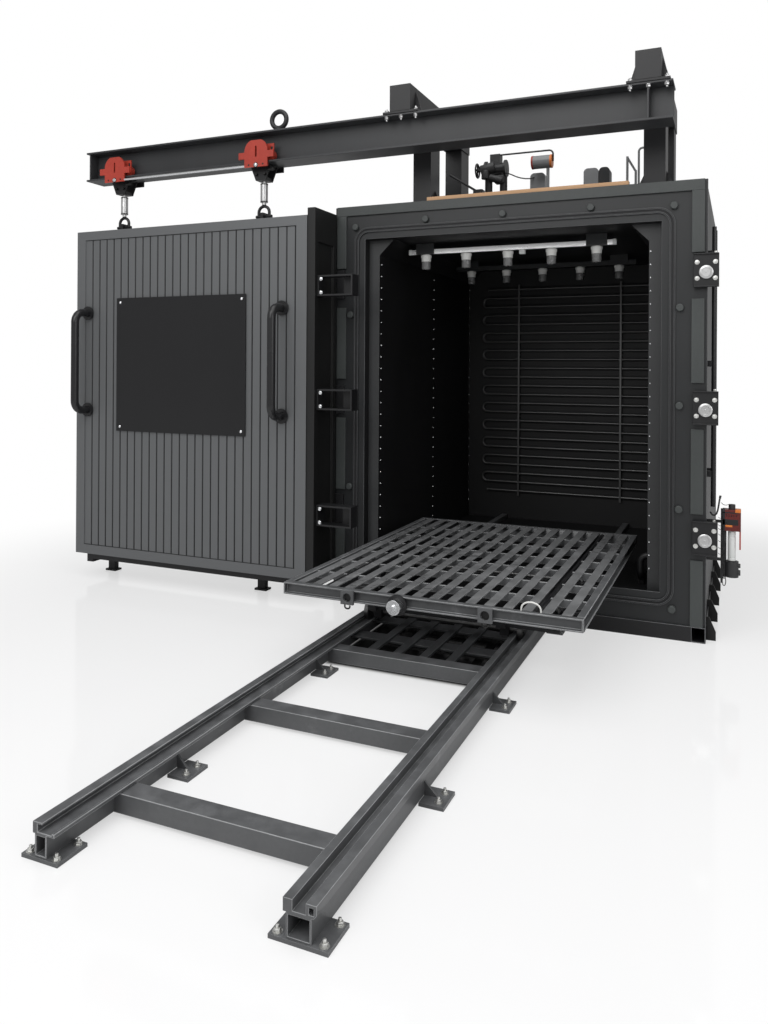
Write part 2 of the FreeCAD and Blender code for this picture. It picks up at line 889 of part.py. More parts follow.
def door_handle(x):
    """A bent tube handle with round mounting plates."""
    radius = handle_bend
    y_in = door_front + board_recess
    y_out = door_front - handle_standoff + handle_tube / 2
    middle = door_bottom + handle_share * door_height
    z0 = middle - handle_length / 2 + handle_tube / 2
    z1 = middle + handle_length / 2 - handle_tube / 2
    turn = radius * (1 - math.sqrt(0.5))
    a = Vector(x, y_in, z0)
    b = Vector(x, y_out + radius, z0)
    c = Vector(x, y_out, z0 + radius)
    d = Vector(x, y_out, z1 - radius)
    e = Vector(x, y_out + radius, z1)
    f = Vector(x, y_in, z1)
    edges = [
        Part.LineSegment(a, b).toShape(),
        Part.Arc(b, Vector(x, y_out + turn, z0 + turn), c).toShape(),
        Part.LineSegment(c, d).toShape(),
        Part.Arc(d, Vector(x, y_out + turn, z1 - turn), e).toShape(),
        Part.LineSegment(e, f).toShape(),
    ]
    ring = Part.Wire(Part.Circle(a, Y_AXIS, handle_tube / 2).toShape())
    bar = Part.Wire(edges).makePipeShell([ring], True, False)
    plates = []
    for z in (z0, z1):
        start = Vector(x, door_front - rosette_thickness, z)
        plates.append(rod(start, Y_AXIS, rosette_thickness, rosette_diameter))
    return fused([bar] + plates)


def door_handles():
    return [door_handle(door_left + handle_inset), door_handle(door_right - handle_right_inset)]


def sign_plate():
    """A bare plate on the door's front, held off the boards by short spacers."""
    y1 = door_front + board_recess
    y0 = y1 - sign_standoff - sign_thickness
    x0 = (door_left + door_right) / 2 + sign_shift - sign_width / 2
    z0 = door_bottom + sign_share * door_height - sign_height / 2
    x1 = x0 + sign_width
    z1 = z0 + sign_height
    parts = [block(x0, x1, y0, y0 + sign_thickness, z0, z1)]
    for x in (x0 + sign_spacer_inset, x1 - sign_spacer_inset):
        for z in (z0 + sign_spacer_inset, z1 - sign_spacer_inset):
            parts.append(rod(Vector(x, y0 + sign_thickness, z), Y_AXIS, sign_standoff, sign_spacer))
    return fused(parts)


def door_base():
    """The beam under the door and its two small parking feet."""
    z1 = door_bottom
    z0 = z1 - door_beam_height
    middle = z1 - door_beam_middle_height
    x0 = door_left + door_beam_left_inset
    x1 = side_frame_right - door_beam_right_inset
    y0 = door_front + door_beam_front_inset
    y1 = door_back - door_beam_back_inset
    beam = block(x0, x1, y0, y1, z0, z1)
    beam = beam.cut(block(x0 + door_beam_end, x1 - door_beam_end, y0 - 1, y1 + 1, z0 - 1, middle))
    parts = [beam]
    back = door_back - door_foot_back_gap
    places = [door_left + door_foot_insets[0], door_right - door_foot_insets[1] - door_foot_plate]
    for x in places:
        front = back - door_foot_plate_depth
        parts.append(block(x, x + door_foot_plate, front, back, 0, door_foot_thickness))
        x += (door_foot_plate - door_foot_post) / 2
        end = (door_foot_plate_depth - door_foot_post_depth) / 2
        parts.append(block(x, x + door_foot_post, front + end, back - end, door_foot_thickness, middle))
    return fused(parts)


def door_bracket(level):
    """A box-shaped catch on the door's right edge, open to the front."""
    x0 = side_frame_right
    x1 = x0 + door_bracket_reach
    y0 = door_front + door_bracket_set_back
    y1 = y0 + door_bracket_depth
    z0 = level - door_bracket_height / 2
    z1 = z0 + door_bracket_height
    t = door_bracket_plate
    frame = block(x0, x1, y0, y1, z0, z1).cut(block(x0 + t, x1 - t, y0 - 1, y1 + 1, z0 + t, z1 - t))
    web = block(x1 - t - door_bracket_web, x1 - t, y1 - t, y1, z0 + t, z1 - t)
    return fused([frame, web])


def runway_beam():
    """A wide-flange beam along the front, above the door: flanges, web and stiffeners."""
    z0 = beam_bottom
    z1 = beam_top
    f = beam_flange_thickness
    y0 = beam_y - beam_flange / 2
    y1 = beam_y + beam_flange / 2
    web0 = beam_y - beam_web / 2
    web1 = beam_y + beam_web / 2
    pieces = [
        block(beam_left, beam_right, y0, y1, z0, z0 + f),
        block(beam_left, beam_right, y0, y1, z1 - f, z1),
        block(beam_left, beam_right, web0, web1, z0 + f, z1 - f),
    ]
    for x in (beam_left + stiffener_insets[0], beam_right - stiffener_insets[1]):
        x1 = x + stiffener_thickness
        pieces.append(block(x, x1, y0 + stiffener_margin, web0, z0 + f, z1 - f))
        pieces.append(block(x, x1, web1, y1 - stiffener_margin, z0 + f, z1 - f))
    return pieces


def beam_columns():
    """Front and rear posts on the roof that carry the cross arms."""
    posts = []
    top = beam_top + arm_plate
    base = oven_height + column_foot_thickness
    half = column_width / 2
    for x in column_places:
        for y in (column_y, column_y + column_spacing):
            y1 = y + column_depth
            parts = [
                block(x - half, x + half, y, y1, base, top),
                block(x - half - column_foot_side, x + half + column_foot_side, y - column_foot_end,
                      y1 + column_foot_end, oven_height, base),
            ]
            rib_y = (y + y1 - column_gusset_thickness) / 2
            for side in (-1, 1):
                edge = x + side * half
                outline = [
                    Vector(edge, rib_y, base),
                    Vector(edge + side * column_gusset_reach, rib_y, base),
                    Vector(edge, rib_y, base + column_gusset_height),
                ]
                parts.append(prism(outline, Vector(0, column_gusset_thickness, 0)))
            posts.append(fused(parts))
    return posts


def beam_arm(x):
    """A box arm over the columns, closed in front and bolted down on the beam's top flange."""
    z0 = beam_top + arm_plate
    z1 = z0 + arm_height
    y1 = column_y + column_spacing + column_depth
    half = arm_width / 2
    y_middle = beam_y - arm_gusset_thickness / 2
    parts = [
        tube_y(x - half, x + half, arm_front + arm_wall, y1, z0, z1, arm_wall),
        block(x - half, x + half, arm_front, arm_front + arm_wall, z0, z1),
        block(x - arm_plate_width / 2, x + arm_plate_width / 2, beam_y - arm_plate_length / 2,
              beam_y + arm_plate_length / 2, beam_top, z0),
    ]
    for side in (-1, 1):
        edge = x + side * half
        outline = [
            Vector(edge, y_middle, z0),
            Vector(edge + side * arm_gusset_reach, y_middle, z0),
            Vector(edge, y_middle, z1 - arm_gusset_drop),
        ]
        parts.append(prism(outline, Vector(0, arm_gusset_thickness, 0)))
    return fused(parts)


def lifting_eye():
    """A ring and collar on the beam's top flange."""
    x = door_right - eye_inset
    collar = rod(Vector(x, beam_y, beam_top), Z_AXIS, eye_collar_height, eye_collar)
    middle = Vector(x, beam_y, beam_top + eye_collar_height + eye_ring / 2 - eye_sink)
    ring = Part.makeTorus((eye_ring - eye_bar) / 2, eye_bar / 2, middle, Y_AXIS)
    return fused([collar, ring])


def trolley_cheek(x, y, z):
    """The domed outline of a trolley's side plate, seen from the front."""
    right = [
        Vector(x + trolley_body_half, y, z),
        Vector(x + trolley_body_half, y, z + trolley_body_height),
        Vector(x + trolley_bumper_half, y, z + trolley_body_height),
        Vector(x + trolley_bumper_half, y, z + trolley_bumper_top),
        Vector(x + trolley_body_half, y, z + trolley_bumper_top),
    ]
    left = [Vector(2 * x - p.x, y, p.z) for p in reversed(right)]
    shoulder = z + trolley_dome_bulge_level
    crown = z + trolley_dome_top
    top_right = Vector(x + trolley_dome_half, y, crown)
    top_left = Vector(x - trolley_dome_half, y, crown)
    edges = [Part.LineSegment(a, b).toShape() for a, b in zip(right, right[1:])]
    edges.append(Part.Arc(right[-1], Vector(x + trolley_dome_bulge_half, y, shoulder), top_right).toShape())
    edges.append(Part.LineSegment(top_right, top_left).toShape())
    edges.append(Part.Arc(top_left, Vector(x - trolley_dome_bulge_half, y, shoulder), left[0]).toShape())
    edges += [Part.LineSegment(a, b).toShape() for a, b in zip(left, left[1:])]
    edges.append(Part.LineSegment(left[-1], right[0]).toShape())
    return Part.Face(Part.Wire(edges))


def trolley_half(x, side):
    """One side of a trolley: a domed plate, its slot, a carrier plate and two wheels."""
    z = trolley_bottom
    inner = beam_y + side * trolley_inner
    y0 = min(inner, inner + side * trolley_plate)
    plate = trolley_cheek(x, y0, z).extrude(Vector(0, trolley_plate, 0))
    slot = block(x - trolley_slot_width / 2, x + trolley_slot_width / 2, y0 - 1, y0 + trolley_plate + 1,
                 z + trolley_slot_low, z + trolley_slot_high)
    face = inner - side * carrier_gap
    low, high = sorted((face, face - side * carrier_plate))
    carrier = block(x - carrier_half, x + carrier_half, low, high, z + carrier_low, z + carrier_high)
    for end in (-1, 1):
        edge = x + end * (carrier_half - carrier_window_inset)
        wx0, wx1 = sorted((edge, edge - end * carrier_window_width))
        window = block(wx0, wx1, low - 1, high + 1, z + carrier_window_low, z + carrier_window_high)
        carrier = carrier.cut(window)
    parts = [plate.cut(slot), carrier]
    wheel_z = beam_bottom + beam_flange_thickness + trolley_wheel_lift + trolley_wheel / 2
    inward = Vector(0, -side, 0)
    for end in (-1, 1):
        wx = x + end * trolley_wheel_gap / 2
        parts.append(rod(Vector(wx, inner, wheel_z), inward, carrier_gap, trolley_axle))
        parts.append(rod(Vector(wx, face - side * carrier_plate, wheel_z), inward, trolley_wheel_width,
                         trolley_wheel))
    return fused(parts)


def trolley_yoke(x):
    """Two tapered plates, their cross pin and foot block, that hang from a trolley."""
    top = beam_bottom - yoke_head_gap
    parts = []
    for side in (-1, 1):
        y = min(beam_y + side * yoke_half_gap, beam_y + side * (yoke_half_gap + yoke_plate))
        outline = [
            Vector(x - yoke_top_half, y, top),
            Vector(x + yoke_top_half, y, top),
            Vector(x + yoke_bottom_half, y, yoke_bottom),
            Vector(x - yoke_bottom_half, y, yoke_bottom),
        ]
        parts.append(prism(outline, Vector(0, yoke_plate, 0)))
    pin = Vector(x, beam_y - trolley_inner, beam_bottom - yoke_pin_drop)
    parts.append(rod(pin, Y_AXIS, 2 * trolley_inner, yoke_pin))
    parts.append(block(x - yoke_bottom_half, x + yoke_bottom_half, beam_y - yoke_half_gap,
                       beam_y + yoke_half_gap, yoke_bottom, yoke_bottom + yoke_block))
    return fused(parts)


def tie_bar():
    """The round bar that keeps the two trolleys at their distance."""
    x0 = trolley_places[0] + trolley_body_half
    x1 = trolley_places[1] - trolley_body_half
    y = beam_y - trolley_inner - trolley_plate / 2
    return rod(Vector(x0, y, beam_bottom - tie_drop), X_AXIS, x1 - x0, tie_rod)


def turnbuckle(x):
    """A turnbuckle with a neck at each end, under a trolley's yoke."""
    top = yoke_bottom - turnbuckle_neck_length
    body = rod(Vector(x, beam_y, top - turnbuckle_length), Z_AXIS, turnbuckle_length, turnbuckle_diameter)
    neck = rod(Vector(x, beam_y, yoke_bottom), -Z_AXIS, turnbuckle_length + 2 * turnbuckle_neck_length,
               turnbuckle_neck)
    return fused([body, neck])


def door_shackle(x):
    """A shackle between a turnbuckle's lower neck and the lug on the door's top."""
    neck_end = yoke_bottom - turnbuckle_length - 2 * turnbuckle_neck_length
    reach = (shackle_inner + shackle_bar) / 2
    bow = neck_end - reach - shackle_bar / 2
    pin = door_top + shackle_pin_height
    left = Vector(x - reach, beam_y, bow)
    right = Vector(x + reach, beam_y, bow)
    edges = [
        Part.LineSegment(Vector(x - reach, beam_y, pin), left).toShape(),
        Part.Arc(left, Vector(x, beam_y, bow + reach), right).toShape(),
        Part.LineSegment(right, Vector(x + reach, beam_y, pin)).toShape(),
    ]
    ring = Part.Wire(Part.Circle(Vector(x - reach, beam_y, pin), Z_AXIS, shackle_bar / 2).toShape())
    loop = Part.Wire(edges).makePipeShell([ring], True, False)
    seat = rod(Vector(x, beam_y, neck_end), -Z_AXIS, shackle_bite, turnbuckle_neck)
    start = Vector(x - reach - shackle_pin_overhang, beam_y, pin)
    cross = rod(start, X_AXIS, 2 * (reach + shackle_pin_overhang), shackle_bar)
    lug = block(x - hanger_lug_thickness / 2, x + hanger_lug_thickness / 2, beam_y - hanger_lug_length / 2,
                beam_y + hanger_lug_length / 2, door_top, pin + hanger_lug_head)
    return fused([loop, seat, cross, lug])


def track_rail(side):
    """A tube rail with a formed wheel guide on top; side -1 is the left one."""
    length = track_back - track_front
    y0 = track_front
    if side < 0:
        x = left_rail
        tube = tube_y(x + left_tube_inset, x + left_tube_inset + left_tube_width, y0, track_back,
                      foot_plate, track_tube_top, rail_tube_wall)
        z = track_tube_top
        end = x + left_guide_width
        outline = [
            Vector(x, y0, z),
            Vector(end, y0, z),
            Vector(end, y0, z + guide_floor + left_guide_lip_height),
            Vector(end - left_guide_lip, y0, z + guide_floor + left_guide_lip_height),
            Vector(end - left_guide_lip, y0, z + guide_floor),
            Vector(x + left_guide_web, y0, z + guide_floor),
            Vector(x + left_guide_web, y0, guide_top - guide_floor),
            Vector(x + left_guide_flange, y0, guide_top - guide_floor),
            Vector(x + left_guide_flange, y0, guide_top),
            Vector(x, y0, guide_top),
        ]
        return fused([tube, prism(outline, Vector(0, length, 0))])
    x = right_rail
    tube = tube_y(x + right_tube_inset, x + right_tube_inset + right_tube_width, y0, track_back,
                  foot_plate, track_tube_top, rail_tube_wall)
    z = track_tube_top
    end = x + right_guide_width
    groove_end = x + right_guide_bar + right_guide_groove
    outline = [
        Vector(x, y0, z),
        Vector(end - right_guide_wall, y0, z),
        Vector(end, y0, z + right_guide_taper),
        Vector(end, y0, guide_top),
        Vector(groove_end, y0, guide_top),
        Vector(groove_end, y0, z + guide_floor),
        Vector(x + right_guide_bar, y0, z + guide_floor),
        Vector(x + right_guide_bar, y0, guide_top),
        Vector(x, y0, guide_top),
    ]
    guide = prism(outline, Vector(0, length, 0))
    hollow = [
        Vector(groove_end + right_guide_wall, y0 - 1, z + right_guide_wall),
        Vector(end - right_guide_wall, y0 - 1, z + right_guide_wall),
        Vector(end - right_guide_wall, y0 - 1, guide_top - right_guide_wall),
        Vector(groove_end + right_guide_wall, y0 - 1, guide_top - right_guide_wall),
    ]
    guide = guide.cut(prism(hollow, Vector(0, length + 2, 0)))
    return fused([tube, guide])


def rail_inner_faces():
    """Where the rungs meet the rails' tubes."""
    return left_rail + left_tube_inset + left_tube_width, right_rail + right_tube_inset


def track_rungs():
    """Tubes across the track between the rails."""
    x0, x1 = rail_inner_faces()
    places = rung_places + [track_back - rung_width]
    z1 = foot_plate + rung_height
    return [tube_x(x0, x1, y, y + rung_width, foot_plate, z1, rung_wall) for y in places]


def track_bed():
    """Flat bars along the rear of the track, from the third rung to the last, on cross plates."""
    x0, x1 = rail_inner_faces()
    z1 = foot_plate + rung_height
    pitch = (x1 - x0) / (bed_bar_count + 2)
    bed = []
    for i in range(bed_bar_count):
        x = x0 + (i + 1.5) * pitch
        bed.append(block(x - bed_bar_width / 2, x + bed_bar_width / 2, rung_places[-1] + rung_width,
                         track_back - rung_width, z1 - bed_bar_thickness, z1))
    for y in bed_plate_places:
        bed.append(block(x0, x1, y, y + bed_plate_width, z1 - bed_bar_thickness - bed_plate_thickness,
                         z1 - bed_bar_thickness))
    return bed


def foot(x0, x1, y0, y1, holes):
    """A floor plate with anchor holes."""
    plate = block(x0, x1, y0, y1, 0, foot_plate)
    for x, y in holes:
        plate = plate.cut(rod(Vector(x, y, -1), Z_AXIS, foot_plate + 2, anchor_hole))
    return plate


def end_foot(tube_middle, width):
    """The big plate under a rail's front end, with four anchor holes."""
    y0 = track_front - end_foot_overhang
    y1 = y0 + end_foot_length
    dx = width / 2 - end_foot_hole_inset
    dy = anchor_pitch / 2
    middle = (y0 + y1) / 2
    holes = [(tube_middle + sx * dx, middle + sy * dy) for sx in (-1, 1) for sy in (-1, 1)]
    return foot(tube_middle - width / 2, tube_middle + width / 2, y0, y1, holes)


def side_foot(edge, out, y):
    """A plate beside a rail with a gusset up the tube; out is the side it points to."""
    low, high = sorted((edge, edge + out * side_foot_reach))
    hole_x = edge + out * side_foot_hole_reach
    y1 = y + side_foot_size
    plate = foot(low, high, y, y1, [(hole_x, y + side_foot_hole_inset), (hole_x, y1 - side_foot_hole_inset)])
    rib_y = (y + y1 - side_foot_gusset_thickness) / 2
    outline = [
        Vector(edge, rib_y, foot_plate),
        Vector(edge + out * side_foot_gusset, rib_y, foot_plate),
        Vector(edge, rib_y, foot_plate + side_foot_gusset),
    ]
    return fused([plate, prism(outline, Vector(0, side_foot_gusset_thickness, 0))])


def track_feet():
    """All floor plates under and beside the rails."""
    left_middle = left_rail + left_tube_inset + left_tube_width / 2
    right_middle = right_rail + right_tube_inset + right_tube_width / 2
    inner = left_middle + left_tube_width / 2
    outer = right_middle + right_tube_width / 2
    rear = track_back - side_foot_rear_gap
    plates = [end_foot(left_middle, left_foot_width), end_foot(right_middle, right_foot_width)]
    plates += [side_foot(inner, 1, y) for y in side_foot_places_left]
    plates += [side_foot(outer, 1, y) for y in side_foot_places_right]
    plates += [side_foot(outer, 1, rear), side_foot(left_rail + left_tube_inset, -1, rear)]
    return plates


def wheelset(x_left, x_right, y, z, diameter, overhang):
    """Two wheels with hubs on one axle."""
    axle = rod(Vector(x_left - overhang, y, z), X_AXIS, x_right - x_left + 2 * overhang, wheel_axle)
    parts = [axle]
    for x in (x_left, x_right):
        disc = rod(Vector(x - wheel_width / 2, y, z), X_AXIS, wheel_width, diameter)
        parts.append(disc)
    return fused(parts)


def bored_block(x0, x1, y_middle, half_length, z0, z1, axle_z):
    """A bearing block with a bore for an axle along X."""
    body = block(x0, x1, y_middle - half_length, y_middle + half_length, z0, z1)
    bore = rod(Vector(x0 - 1, y_middle, axle_z), X_AXIS, x1 - x0 + 2, wheel_axle + 2 * axle_clearance)
    return body.cut(bore)


def carriage_axles():
    """Where the carriage's axles lie along the track."""
    return carriage_front + carriage_axle_inset, carriage_front + carriage_length - carriage_axle_inset


def carriage_wheels(y):
    """One of the carriage's wheelsets."""
    return wheelset(carriage_wheel_left, carriage_wheel_right, y, carriage_axle_z, carriage_wheel,
                    carriage_axle_overhang)


def carriage_frame():
    """Bearers on the wheel lines, cross beams and two runners for the platform."""
    y0 = carriage_front
    y1 = carriage_front + carriage_length
    left0 = carriage_wheel_left + wheel_width / 2 + left_bearer_gap
    right1 = carriage_wheel_right - wheel_width / 2 - right_bearer_gap
    z0 = bearer_bottom
    z1 = bearer_bottom + bearer_height
    bearers = [(left0, left0 + bearer_width), (right1 - bearer_width, right1)]
    parts = []
    for x0, x1 in bearers:
        parts.append(block(x0, x1, y0, y1, z0, z1))
        for y in carriage_axles():
            parts.append(bored_block(x0, x1, y, bearing_block_length / 2, z0 - bearing_block_height, z0,
                                     carriage_axle_z))
    runner_left = platform_centre - platform_gauge / 2 - runner_width / 2
    runner_right = platform_centre + platform_gauge / 2 + runner_width / 2
    first = y0 + cross_beam_inset
    last = y1 - cross_beam_inset - cross_beam_width
    for y in (first, (first + last) / 2, last):
        parts.append(block(runner_left, runner_right, y, y + cross_beam_width, z0 + cross_beam_step, z1))
    for x in (runner_left, runner_right - runner_width):
        parts.append(block(x, x + runner_width, y0, y1, z1, runner_top))
    return fused(parts)


def platform_axles():
    """Where the platform's axles lie at rest."""
    front = platform_front + front_axle_inset
    return front, front + platform_wheelbase


def platform_wheels(y):
    """One of the platform's wheelsets."""
    left = platform_centre - platform_gauge / 2
    return wheelset(left, left + platform_gauge, y, platform_axle_z, platform_wheel, platform_axle_overhang)


def channel(x0, x1, y0, y1, grooves):
    """A rim member: a block with grooves cut along its outer faces."""
    member = block(x0, x1, y0, y1, platform_bottom, platform_top)
    t = platform_web
    for gx0, gx1, gy0, gy1 in grooves:
        member = member.cut(block(gx0, gx1, gy0, gy1, platform_bottom + t, platform_top - t))
    return member


def platform_rim():
    """Channels round the platform with their flanges outwards."""
    x0 = platform_left
    x1 = platform_right
    y0 = platform_front
    y1 = platform_front + platform_length
    w = platform_flange
    t = platform_web
    return [
        channel(x0, x1, y0, y0 + w, [(x0 + t, x1 - t, y0 - 1, y0 + w - t)]),
        channel(x0, x1, y1 - w, y1, [(x0 + t, x1 - t, y1 - w + t, y1 + 1)]),
        channel(x0, x0 + w, y0 + w, y1 - w, [(x0 - 1, x0 + w - t, y0 + w, y1 - w)]),
        channel(x1 - w, x1, y0 + w, y1 - w, [(x1 - w + t, x1 + 1, y0 + w, y1 - w)]),
    ]


def fork_plates():
    """The two plates beside each wheel line, from left to right, as spans along X."""
    spans = []
    for side in (-1, 1):
        x = platform_centre + side * platform_gauge / 2
        half_gap = wheel_width / 2 + fork_gap
        spans.append((x - half_gap - fork_plate, x - half_gap))
        spans.append((x + half_gap, x + half_gap + fork_plate))
    return spans


def platform_forks():
    """Long plates that carry the wheels' axles in bored blocks."""
    y0 = platform_front + platform_flange
    y1 = platform_front + platform_length - platform_flange
    plates = []
    for low, high in fork_plates():
        parts = [block(low, high, y0, y1, platform_bottom, platform_top - slat_thickness)]
        for y in platform_axles():
            parts.append(bored_block(low, high, y, fork_length / 2, platform_axle_z - fork_below_axle,
                                     platform_bottom, platform_axle_z))
        plates.append(fused(parts))
    return plates


def platform_cross_bars():
    """Bars under the slats, between the rim and the fork plates."""
    y0 = platform_front + platform_flange
    step = (platform_length - 2 * platform_flange) / (cross_bar_count + 1)
    top = platform_top - slat_thickness
    forks = fork_plates()
    spans = [
        (platform_left + platform_flange, forks[0][0]),
        (forks[1][1], forks[2][0]),
        (forks[3][1], platform_right - platform_flange),
    ]
    bars = []
    for i in range(cross_bar_count):
        y = y0 + (i + 1) * step - cross_bar_width / 2
        for low, high in spans:
            bars.append(block(low, high, y, y + cross_bar_width, top - cross_bar_height, top))
    return bars


def platform_slats():
    """Flat bars along the platform, flush with the top of its rim."""
    slats = []
    first = platform_left + platform_flange
    pitch = (platform_right - platform_flange - first) / slat_count
    for i in range(slat_count):
        x = first + (i + 0.5) * pitch
        slats.append(block(x - slat_width / 2, x + slat_width / 2, platform_front + platform_flange,
                           platform_front + platform_length - platform_flange,
                           platform_top - slat_thickness, platform_top))
    return slats


def platform_lugs():
    """Square pads with round tow holes on the platform's front."""
    lugs = []
    for shift in lug_shifts:
        x = platform_centre + shift
        plate = block(x - lug_size / 2, x + lug_size / 2, platform_front - lug_thickness, platform_front,
                      platform_top - lug_size, platform_top)
        hole = rod(Vector(x, platform_front - lug_thickness - 1, platform_top - lug_size / 2), Y_AXIS,
                   lug_thickness + 2, lug_hole)
        lugs.append(plate.cut(hole))
    return lugs


def coupling_hub():
    """A round shaft end with its flange in the middle of the platform's front."""
    spot = Vector(platform_centre + hub_shift, platform_front, platform_bottom + hub_rise)
    flange = rod(spot, -Y_AXIS, hub_flange_thickness, hub_flange)
    hub = rod(spot, -Y_AXIS, hub_flange_thickness + hub_length, hub_diameter)
    nose = rod(spot, -Y_AXIS, hub_flange_thickness + hub_length + hub_nose_length, hub_nose)
    return fused([flange, hub, nose])


def roof_curb():
    """A low strip along the roof's front edge, between the columns."""
    x0 = column_places[0] + roof_curb_left_gap
    x1 = column_places[1] - roof_curb_right_gap
    return block(x0, x1, 0, roof_curb_width, oven_height, oven_height + roof_curb_height)


def roof_valve():
    """A flanged valve on two legs, with a drive on top and a hand wheel at its left."""
    axis = Vector(valve_x, equipment_y, oven_height + valve_axis_height)
    left = axis - X_AXIS * valve_length / 2
    half = valve_drive / 2
    parts = [rod(left, X_AXIS, valve_length, valve_body)]
    for offset in (0, valve_length - valve_flange_thickness):
        parts.append(rod(left + X_AXIS * offset, X_AXIS, valve_flange_thickness, valve_flange))
    for side in (-1, 1):
        x = valve_x + side * valve_leg_spacing / 2
        parts.append(rod(Vector(x, equipment_y, oven_height), Z_AXIS, valve_axis_height, valve_leg))
    parts.append(block(valve_x - half, valve_x + half, equipment_y - half, equipment_y + half, axis.z,
                       axis.z + valve_drive_height))
    hub = left - X_AXIS * valve_stem_length
    parts.append(rod(hub, X_AXIS, valve_stem_length, valve_stem))
    parts.append(Part.makeTorus((valve_wheel - valve_wheel_bar) / 2, valve_wheel_bar / 2, hub, X_AXIS))
    for direction in (Y_AXIS, Z_AXIS):
        reach = (valve_wheel - valve_wheel_bar) / 2
        parts.append(rod(hub - direction * reach, direction, 2 * reach, valve_wheel_bar))
    return fused(parts)


def roof_lever():
    """A lever that leans to the left from its block."""
    half = lever_block / 2
    x = lever_x
    base = block(x - half, x + half, equipment_y - half, equipment_y + half, oven_height,
                 oven_height + lever_block_height)
    start = Vector(x, equipment_y, oven_height + lever_block_height - lever_bar)
    along = Vector(lever_run, 0, lever_lift)
    return fused([base, rod(start, along, along.Length, lever_bar)])


def bent_pipe(points, bend, diameter):
    """A pipe through three points with a bend at the middle one."""
    first, corner, last = points
    before = (first - corner).normalize()
    after = (last - corner).normalize()
    a = corner + before * bend
    b = corner + after * bend
    centre = corner + (before + after) * bend
    middle = centre - (before + after).normalize() * bend
    edges = [
        Part.LineSegment(first, a).toShape(),
        Part.Arc(a, middle, b).toShape(),
        Part.LineSegment(b, last).toShape(),
    ]
    ring = Part.Wire(Part.Circle(first, -before, diameter / 2).toShape())
    return Part.Wire(edges).makePipeShell([ring], True, False)


def impulse_line():
    """A thin tube from the valve's drive over to the gauge's post."""
    z = oven_height + impulse_rise
    points = (
        Vector(impulse_start, equipment_y, z),
        Vector(impulse_end, equipment_y, z),
        Vector(impulse_end, equipment_y, oven_height + gauge_height),
    )
    return bent_pipe(points, impulse_bend, impulse_tube)


def roof_bracket():
    """A braced upright at the right end of the roof."""
    z = oven_height
    half = bracket_bar / 2
    x = bracket_x
    upright = block(x, x + bracket_bar, equipment_y - half, equipment_y + half, z, z + bracket_height)
    start = Vector(x + half, equipment_y, z + bracket_height - half)
    along = Vector(bracket_brace_run, 0, -bracket_brace_drop)
    brace = rod(start, along, along.Length, bracket_bar)
    foot_x = x + half + bracket_brace_run
    strut = block(foot_x - half, foot_x + half, equipment_y - half, equipment_y + half, z,
                  z + bracket_height - bracket_brace_drop)
    return fused([upright, brace, strut])


def roof_vent():
    """A small vent pipe bent to the right."""
    x = vent_x + vent_tube
    points = (
        Vector(x, equipment_y, oven_height),
        Vector(x, equipment_y, oven_height + vent_height),
        Vector(x + vent_run, equipment_y, oven_height + vent_height),
    )
    return bent_pipe(points, vent_bend, vent_tube)


def roof_gauge():
    """A horizontal gauge housing on a post."""
    x = gauge_x + gauge_length - 2 * gauge_post
    y = equipment_y - gauge_post / 2
    axis = oven_height + gauge_height
    body = rod(Vector(gauge_x, equipment_y, axis), X_AXIS, gauge_length, gauge_diameter)
    post = block(x, x + gauge_post, y, y + gauge_post, oven_height, axis)
    return fused([post, body])


def roof_boxes():
    """Three junction boxes with round shoulders."""
    boxes = []
    top = oven_height + box_height
    y = equipment_y + gauge_diameter
    for x, width in zip(box_places, box_widths):
        shell = block(x - width / 2, x + width / 2, y, y + box_depth, oven_height, top)
        ridges = [e for e in shell.Edges if e.BoundBox.ZMin > top - 1 and e.BoundBox.YLength > box_depth / 2]
        boxes.append(shell.makeFillet(box_rounding, ridges))
    return boxes


def side_conduits():
    """Upright pipes down the right wall on stand-off clips."""
    pipes = []
    high = oven_height - conduit_top_gap
    x = oven_right + conduit_offset
    wall = oven_right - outer_skin_set_back
    half = conduit_clip / 2
    levels = (conduit_bottom + conduit_clip_inset, (conduit_bottom + high) / 2, high - conduit_clip_inset)
    for y in conduit_places:
        parts = [rod(Vector(x, y, conduit_bottom), Z_AXIS, high - conduit_bottom, conduit_diameter)]
        for z in levels:
            parts.append(block(wall, x, y - half, y + half, z, z + conduit_clip_height))
        pipes.append(fused(parts))
    return pipes


def unit_middle():
    """Where the service unit's block and bowl stand along X."""
    return oven_right + unit_rod_offset + unit_rod_width + unit_block_width / 2


def service_unit():
    """The air treatment unit's upright, arms, cylinder, bowl and cap on the right wall."""
    x0 = oven_right + unit_rod_offset
    x1 = x0 + unit_rod_width
    x = unit_middle()
    half = unit_rod_width / 2
    z = unit_bottom
    block_low = z + unit_block_level
    bowl_top = z + unit_bowl_level + unit_bowl_height
    parts = [
        block(x0, x1, unit_y - half, unit_y + half, z, z + unit_rod_height),
        rod(Vector(x, unit_y, z + unit_bowl_level), Z_AXIS, unit_bowl_height, unit_bowl),
        rod(Vector(x, unit_y, bowl_top), Z_AXIS, block_low - bowl_top, unit_cylinder),
        block(x1, x, unit_y - half, unit_y + half, bowl_top - unit_arm_height, bowl_top),
    ]
    for level in unit_arm_levels:
        parts.append(block(oven_right - outer_skin_set_back, x0, unit_y - half, unit_y + half, z + level,
                           z + level + unit_arm_height))
    cap = rod(Vector(x, unit_y, block_low + unit_block_height), Z_AXIS, unit_cap_height, unit_cap)
    return [fused(parts), cap]


def service_block():
    """The valve block of the air treatment unit."""
    x0 = oven_right + unit_rod_offset + unit_rod_width
    z0 = unit_bottom + unit_block_level
    return block(x0, x0 + unit_block_width, unit_y - unit_block_depth / 2, unit_y + unit_block_depth / 2, z0,
                 z0 + unit_block_height)


